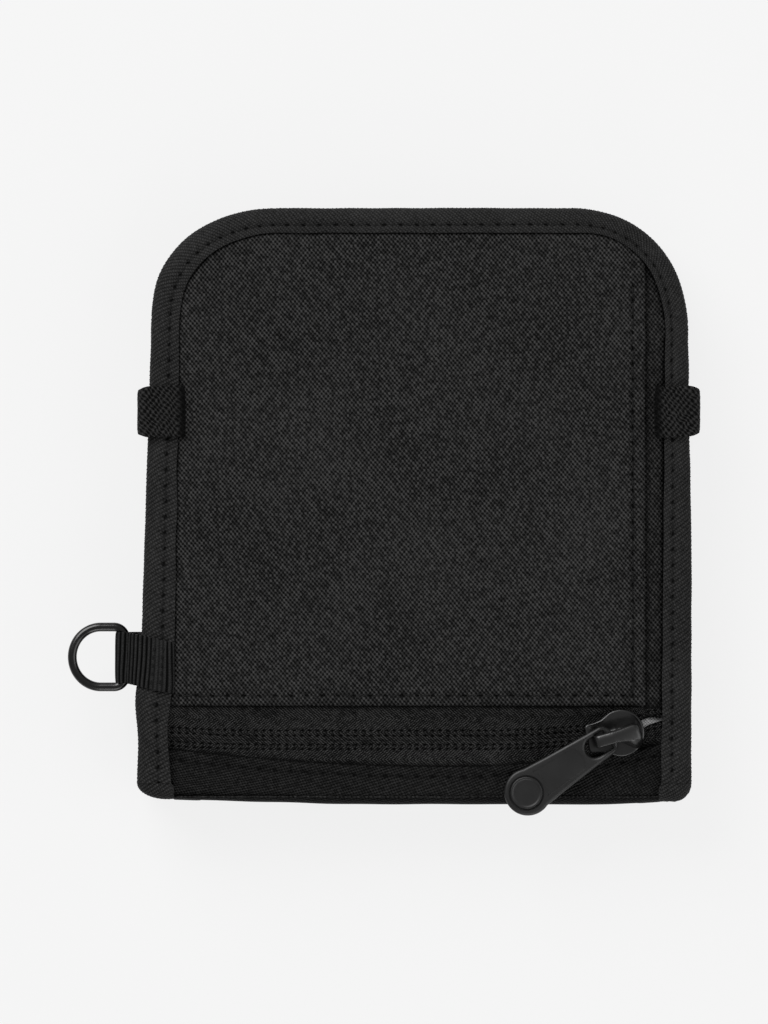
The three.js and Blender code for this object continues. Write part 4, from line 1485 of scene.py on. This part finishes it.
def slider_outline():
    """The slider's shield shape, with its round shoulder towards +x."""
    shoulder, rear, half = SLIDER["shoulder"], SLIDER["rear"], SLIDER["rear_half"]
    turn = SLIDER["round"]
    front = arc((0, 0), (shoulder, shoulder), -turn, turn, 48, endpoint=True)
    upper = [(-3.4, half + 0.42), (-4.6, half + 0.16), (-5.6, half + 0.04),
             (rear + 0.5, half), (rear + 0.15, half - 0.15), (rear, half - 0.5)]
    lower = [(x, -y) for x, y in upper[::-1]]
    return [*lower, *map(tuple, front), *upper]


def dished_plate(name, low, high):
    """The slider's top plate: rimmed, and sloping down to the crown along its upper side."""
    outline = np.array(slider_outline())
    centre = np.array([-0.8, 0.0])
    bevel, flat_rings = 0.3, 22
    angle = np.linspace(0, np.pi / 2, 5)
    rim_in, rim_down = bevel * (1 - np.cos(angle)), bevel * (1 - np.sin(angle))
    inset = np.concatenate([[4.2, 1.5], rim_in[::-1] * 0.7, rim_in,
                            np.linspace(0.45, 4.35, flat_rings)])
    level = np.concatenate([[low, low], low + rim_down[::-1] * 0.7, high - rim_down,
                            np.full(flat_rings, high)])
    reach = 1 - inset / SLIDER["shoulder"]
    plan = centre + (outline - centre)[None, :, :] * reach[:, None, None]
    x, y = plan[..., 0], plan[..., 1]
    slope = smooth(3.7, 1.0, y) * smooth(0.3, 0.9, y) * smooth(-6.2, -4.6, x) * smooth(4.2, 3.0, x)
    on_top = np.arange(len(level)) >= len(level) - flat_rings
    z = level[:, None] - 0.6 * slope * on_top[:, None]
    return ring_solid(name, np.concatenate([plan, z[..., None]], -1), "rubbed")


def slider_body():
    """Two plates joined by a post, with flanges that keep the coils between them."""
    low, high = span("slider_body")
    top_low = high[2] - SLIDER["top"]
    bottom_high = low[2] + SLIDER["bottom"]
    place = slider_place()
    top = dished_plate("slider_top_plate", top_low, high[2])
    bottom = plate("slider_bottom_plate", [slider_outline()], low[2], bottom_high, 0.2,
                   LOOKS["rubbed"])
    post_outline = arc((2.4, 0), (1.4, 1.1), 0, 2 * np.pi, 24)
    post = plate("slider_post", [post_outline], bottom_high - 0.2, top_low + 0.2, 0.02,
                 LOOKS["rubbed"])
    for piece in (top, bottom, post):
        fit(into_place(piece, place), "slider", "black_metal")
    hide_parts("slider_body")
    for sign, word in ((1, "upper"), (-1, "lower")):
        reach = SLIDER["shoulder"] - 0.15
        side = arc((0, 0), (reach, reach), math.radians(52), SLIDER["round"], 10)
        side = np.concatenate([side, [(-3.4, 2.97), (-4.6, 2.71), (-6.1, 2.56)]])
        inner = side - (0, 0.55)
        outline = np.concatenate([side, inner[::-1]]) * (1, sign)
        flange = plate(f"slider_flange_{word}", [outline], top_low - 0.12, top_low + 0.2, 0.08,
                       LOOKS["rubbed"])
        fit(into_place(flange, place), "slider", "black_metal")
    return top


def crown_section(x, top, foot, up, down, flat):
    """A section across the crown: upright above, and with a slanted flank below where it widens."""
    knee = (top - 0.35) * 0.66 + foot * 0.34 if down > flat + 0.1 else top - 0.5
    return [
        (x, up, foot), (x, up, top - 0.5), (x, up - 0.12, top - 0.2), (x, up - 0.42, top),
        (x, 0.3 * (up - flat), top + 0.02), (x, -flat + 0.25, top), (x, -flat - 0.03, top - 0.1),
        (x, -(flat * 0.45 + down * 0.55), knee), (x, -down, foot + 0.12), (x, -down, foot),
    ]


def crown_window(foot, ridge):
    """The cutter for the gap that the puller's bar sits in."""
    rear, front, top = CROWN["window_rear"], CROWN["window_front"], ridge - CROWN["window_top"]
    window = [(rear, foot - 1), (rear, top - 0.45), (rear + 0.55, top), (front - 0.55, top),
              (front, top - 0.45), (front, foot - 1)]
    cutter = plate("crown_window", [window], -6, 6, 0.02, LOOKS["rubbed"])
    cutter.data.transform(Matrix.Rotation(math.pi / 2, 4, "X"))
    return cutter


def slider_crown():
    """The bridge over the plate: broad and solid in front, open behind for the puller's bar."""
    low, high = span("slider_crown")
    foot, ridge, half = low[2] - 0.15, high[2] - 0.02, CROWN["half"]
    along = np.linspace(CROWN["rear"], CROWN["front"] + 0.3, 40)
    from_rear, from_front = along - along[0], along[-1] - along
    slope = np.clip(1 - from_front / CROWN["run_down"], 0, 1)
    nose = rounded_edge(np.clip(from_front, 0, None), 0.8) / 0.8
    height = ridge - rounded_edge(from_rear, 1.1) * 0.9
    height = height - (ridge - foot) * (0.24 * slope ** 1.3 + 0.3 * nose)
    widen = smooth(-1.3, 2.6, along)
    upper = half + 0.25 * widen - 0.3 * smooth(1.2, 0, from_front)
    lower = half + 2.3 * widen - 0.9 * smooth(1.6, 0, from_front)
    shoulder = half + 0.5 * widen
    sections = [crown_section(x, top, foot, up, down, flat)
                for x, top, up, down, flat in zip(along, height, upper, lower, shoulder)]
    made = ring_solid("slider_crown_bridge", np.array(sections), "rubbed")
    cutter = crown_window(foot, ridge)
    bpy.context.view_layer.update()
    cut(made, cutter)
    bevel = made.modifiers.new("bevel", "BEVEL")
    bevel.width = 0.14
    bevel.segments = 3
    bevel.limit_method = "ANGLE"
    bevel.angle_limit = math.radians(40)
    apply_modifiers(made)
    hinge = Matrix.Translation((CROWN["front"], 0, 0))
    turn = hinge @ Matrix.Rotation(CROWN["turn"], 4, "Z") @ hinge.inverted()
    into_place(made, slider_place() @ turn, sharp=40)
    return fit(made, "slider", "black_metal", "slider_crown")


def puller_place():
    """From the puller's own frame, with its bar at the origin, to the pouch's."""
    turn = Matrix.Rotation(PULLER["heading"], 4, "Z") @ Matrix.Rotation(PULLER["tilt"], 4, "Y")
    return Matrix.Translation(PULLER["pivot"]) @ turn


def puller_outline():
    """The pull tab: a slotted neck that widens to a round end."""
    neck, waist, waist_half = PULLER["neck_half"], PULLER["waist"], PULLER["waist_half"]
    turn, radius = math.radians(112), PULLER["tip_radius"]
    tip = arc((PULLER["tip"], 0), (radius, radius), -turn, turn, 56, endpoint=True)
    ring_end = arc((1.3, 0), (1.3 + PULLER["bar_end"], neck), np.pi / 2, 1.5 * np.pi, 28, endpoint=True)
    return [*map(tuple, ring_end), (waist, -waist_half), *map(tuple, tip), (waist, waist_half)]


def puller_tab():
    """The tab with a slot for the crown, a shallow panel and a round recess for the disc."""
    half, slot_half = PULLER["thickness"] / 2, PULLER["slot_half"]
    slot = np.concatenate([
        [(PULLER["bar"], slot_half), (PULLER["bar"], -slot_half)],
        arc((PULLER["slot_end"] - slot_half, 0), (slot_half, slot_half), -np.pi / 2, np.pi / 2, 24,
            endpoint=True),
    ])
    made = plate("puller_tab", [puller_outline(), slot], -half, half, 0.6, LOOKS["enamel"])
    centre = (PULLER["disc_at"], 0)
    disc = arc(centre, (PULLER["disc"], PULLER["disc"]), 0, 2 * np.pi, 64)
    cut(made, plate("disc_recess", [disc], half - PULLER["recess"], half + 0.5, 0.05, LOOKS["enamel"]))
    start, side, turn = PULLER["slot_end"] + 1.0, PULLER["neck_half"] - 0.55, math.pi - 0.72
    radii = (PULLER["panel_round"], PULLER["panel_round"])
    panel_edge = np.concatenate([
        arc((start + 1.2, 0), (1.2, side), np.pi / 2, 1.5 * np.pi, 16, endpoint=True),
        arc(centre, radii, -turn, -np.pi, 10),
        arc(centre, radii, np.pi, turn, 10, endpoint=True),
    ])
    cut(made, plate("panel_recess", [panel_edge], half - 0.1, half + 0.5, 0.03, LOOKS["enamel"]))
    return made


def puller_disc():
    """The plain round disc in the tab's recess, with a raised rim."""
    radii = np.array([3.1, 3.1, 3.05, 2.92, 2.76, 2.62, 2.5, 2.36, 1.6, 0.8, 0.3])
    rise = np.array([-0.62, -0.4, -0.27, -0.19, -0.19, -0.25, -0.31, -0.33, -0.3, -0.28, -0.28])
    angle = np.linspace(0, 2 * np.pi, 64, endpoint=False)
    x = PULLER["disc_at"] + radii[:, None] * np.cos(angle)
    y = radii[:, None] * np.sin(angle)
    return ring_solid("puller_disc", stack(x, y, (rise + PULLER["thickness"] / 2)[:, None]), "enamel")


def puller():
    fit(into_place(puller_tab(), puller_place()), "puller", "black_metal", "puller")
    fit(into_place(puller_disc(), puller_place()), "puller", "black_metal")


# Linings

def coin_lining():
    """The coin pocket's grey lining, and its turned-up end that shows in the open zip."""
    made = simple_panel("coin_lining_cloth", "coin_pocket_lining", NO_LIMIT, "grey", "grey_lining",
                        "front_half", step=1.6, seed=91)
    x, y = np.meshgrid(np.linspace(41.5, 47.4, 30), np.linspace(-43.4, -38.6, 26))
    level = span("zipper_tape_upper")[0][2] + 0.35 - 0.6 * ((y + 41.0) / 2.0) ** 2
    level += 0.08 * waves(92, x, y, 3)
    end = sheet_piece("coin_lining_end", stack(x, y, level), stack(x, y, level - 0.25),
                      np.stack([x, y], -1), LOOKS["grey"])
    fit(end, "front_half", "grey_lining")
    return made


# Studio

def camera():
    """A long lens straight above the pouch."""
    data = bpy.data.cameras.new("camera")
    data.lens = CAMERA["lens"]
    data.sensor_width = 36
    data.clip_start = 0.01
    data.clip_end = 10
    made = add_object("camera", data)
    made.location = Vector((CAMERA["x"], CAMERA["y"], CAMERA["z"])) * MM
    bpy.context.scene.camera = made


def area_light(name, place, size, power):
    """A square soft box that looks at the pouch."""
    data = bpy.data.lights.new(name, "AREA")
    data.size = size
    data.energy = power
    made = add_object(name, data)
    made.location = place
    made.rotation_mode = "QUATERNION"
    made.rotation_quaternion = (-Vector(place)).to_track_quat("-Z", "Y")


def floor():
    """A pale table that glows a little, as a lit sweep of paper does, so shadows stay faint."""
    graph = Graph("pale_floor", Specular_IOR_Level=0.1, Roughness=0.9)
    graph.shader.inputs["Base Color"].default_value = (0.07, 0.07, 0.07, 1)
    graph.shader.inputs["Emission Color"].default_value = (1, 1, 1, 1)
    graph.shader.inputs["Emission Strength"].default_value = 0.82
    rim = arc((0, 0), (SCENE_RADIUS, SCENE_RADIUS), 0, 2 * np.pi, 64)
    mesh = bpy.data.meshes.new("floor")
    mesh.from_pydata([(x, y, -0.0002) for x, y in rim], [], [list(range(len(rim)))])
    mesh.materials.append(graph.material)
    add_object("floor", mesh)


def studio():
    scene = bpy.context.scene
    scene.view_settings.view_transform = "Standard"
    world = bpy.data.worlds.new("studio")
    world.use_nodes = True
    world.node_tree.nodes["Background"].inputs["Color"].default_value = (1, 1, 1, 1)
    world.node_tree.nodes["Background"].inputs["Strength"].default_value = 0.38
    scene.world = world
    for name, (place, size, power) in LIGHTS.items():
        area_light(name, place, size, power)
    floor()
    camera()


# Assembly

studio()

binding("front_binding_tape", FRONT_LOW, FRONT_HIGH, "binding_front", "front_half", 1)
binding_seam("front_binding_seam", FRONT_HIGH, "front_half", 1)
binding("back_binding_tape", BACK_LOW, BACK_HIGH, "binding_back", "back_half", -1)
binding_seam("back_binding_seam", BACK_LOW, "back_half", -1)
for side in ("left", "right"):
    node = "spine_binding_" + side
    spine_tape(f"fold_tape_{side}_front", side, FRONT_HIGH - 0.1, node)
    spine_tape(f"fold_tape_{side}_back", side, BACK_LOW + 0.05, node)

pocket = pocket_panel()
base = base_panel()
for make in (zip_tape, zip_coil):
    for word in TAPES:
        make(word)
strip = bottom_strip()
front_lining = simple_panel("front_lining_cloth", "front_lining", NO_LIMIT, "inner", "nylon",
                            "front_half")
coin_lining()

back = back_panel()
spine_lining()
back_lining = simple_panel("back_lining_cloth", "back_lining", NO_LIMIT, "inner", "nylon",
                           "back_half", seed=95)
upper_pocket = simple_panel("card_pocket_upper_cloth", "card_pocket_upper", CARD_TOP["upper"],
                            "inner", "nylon", "back_half", seed=96)
lower_pocket = simple_panel("card_pocket_lower_cloth", "card_pocket_lower", CARD_TOP["lower"],
                            "inner", "nylon", "back_half", swell=0.1, seed=97)

elastic_band()
ring_loop()
d_ring()
slider_body()
slider_crown()
puller()

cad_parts["back_stiffener"].data.materials.clear()
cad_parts["back_stiffener"].data.materials.append(LOOKS["stiffener"])
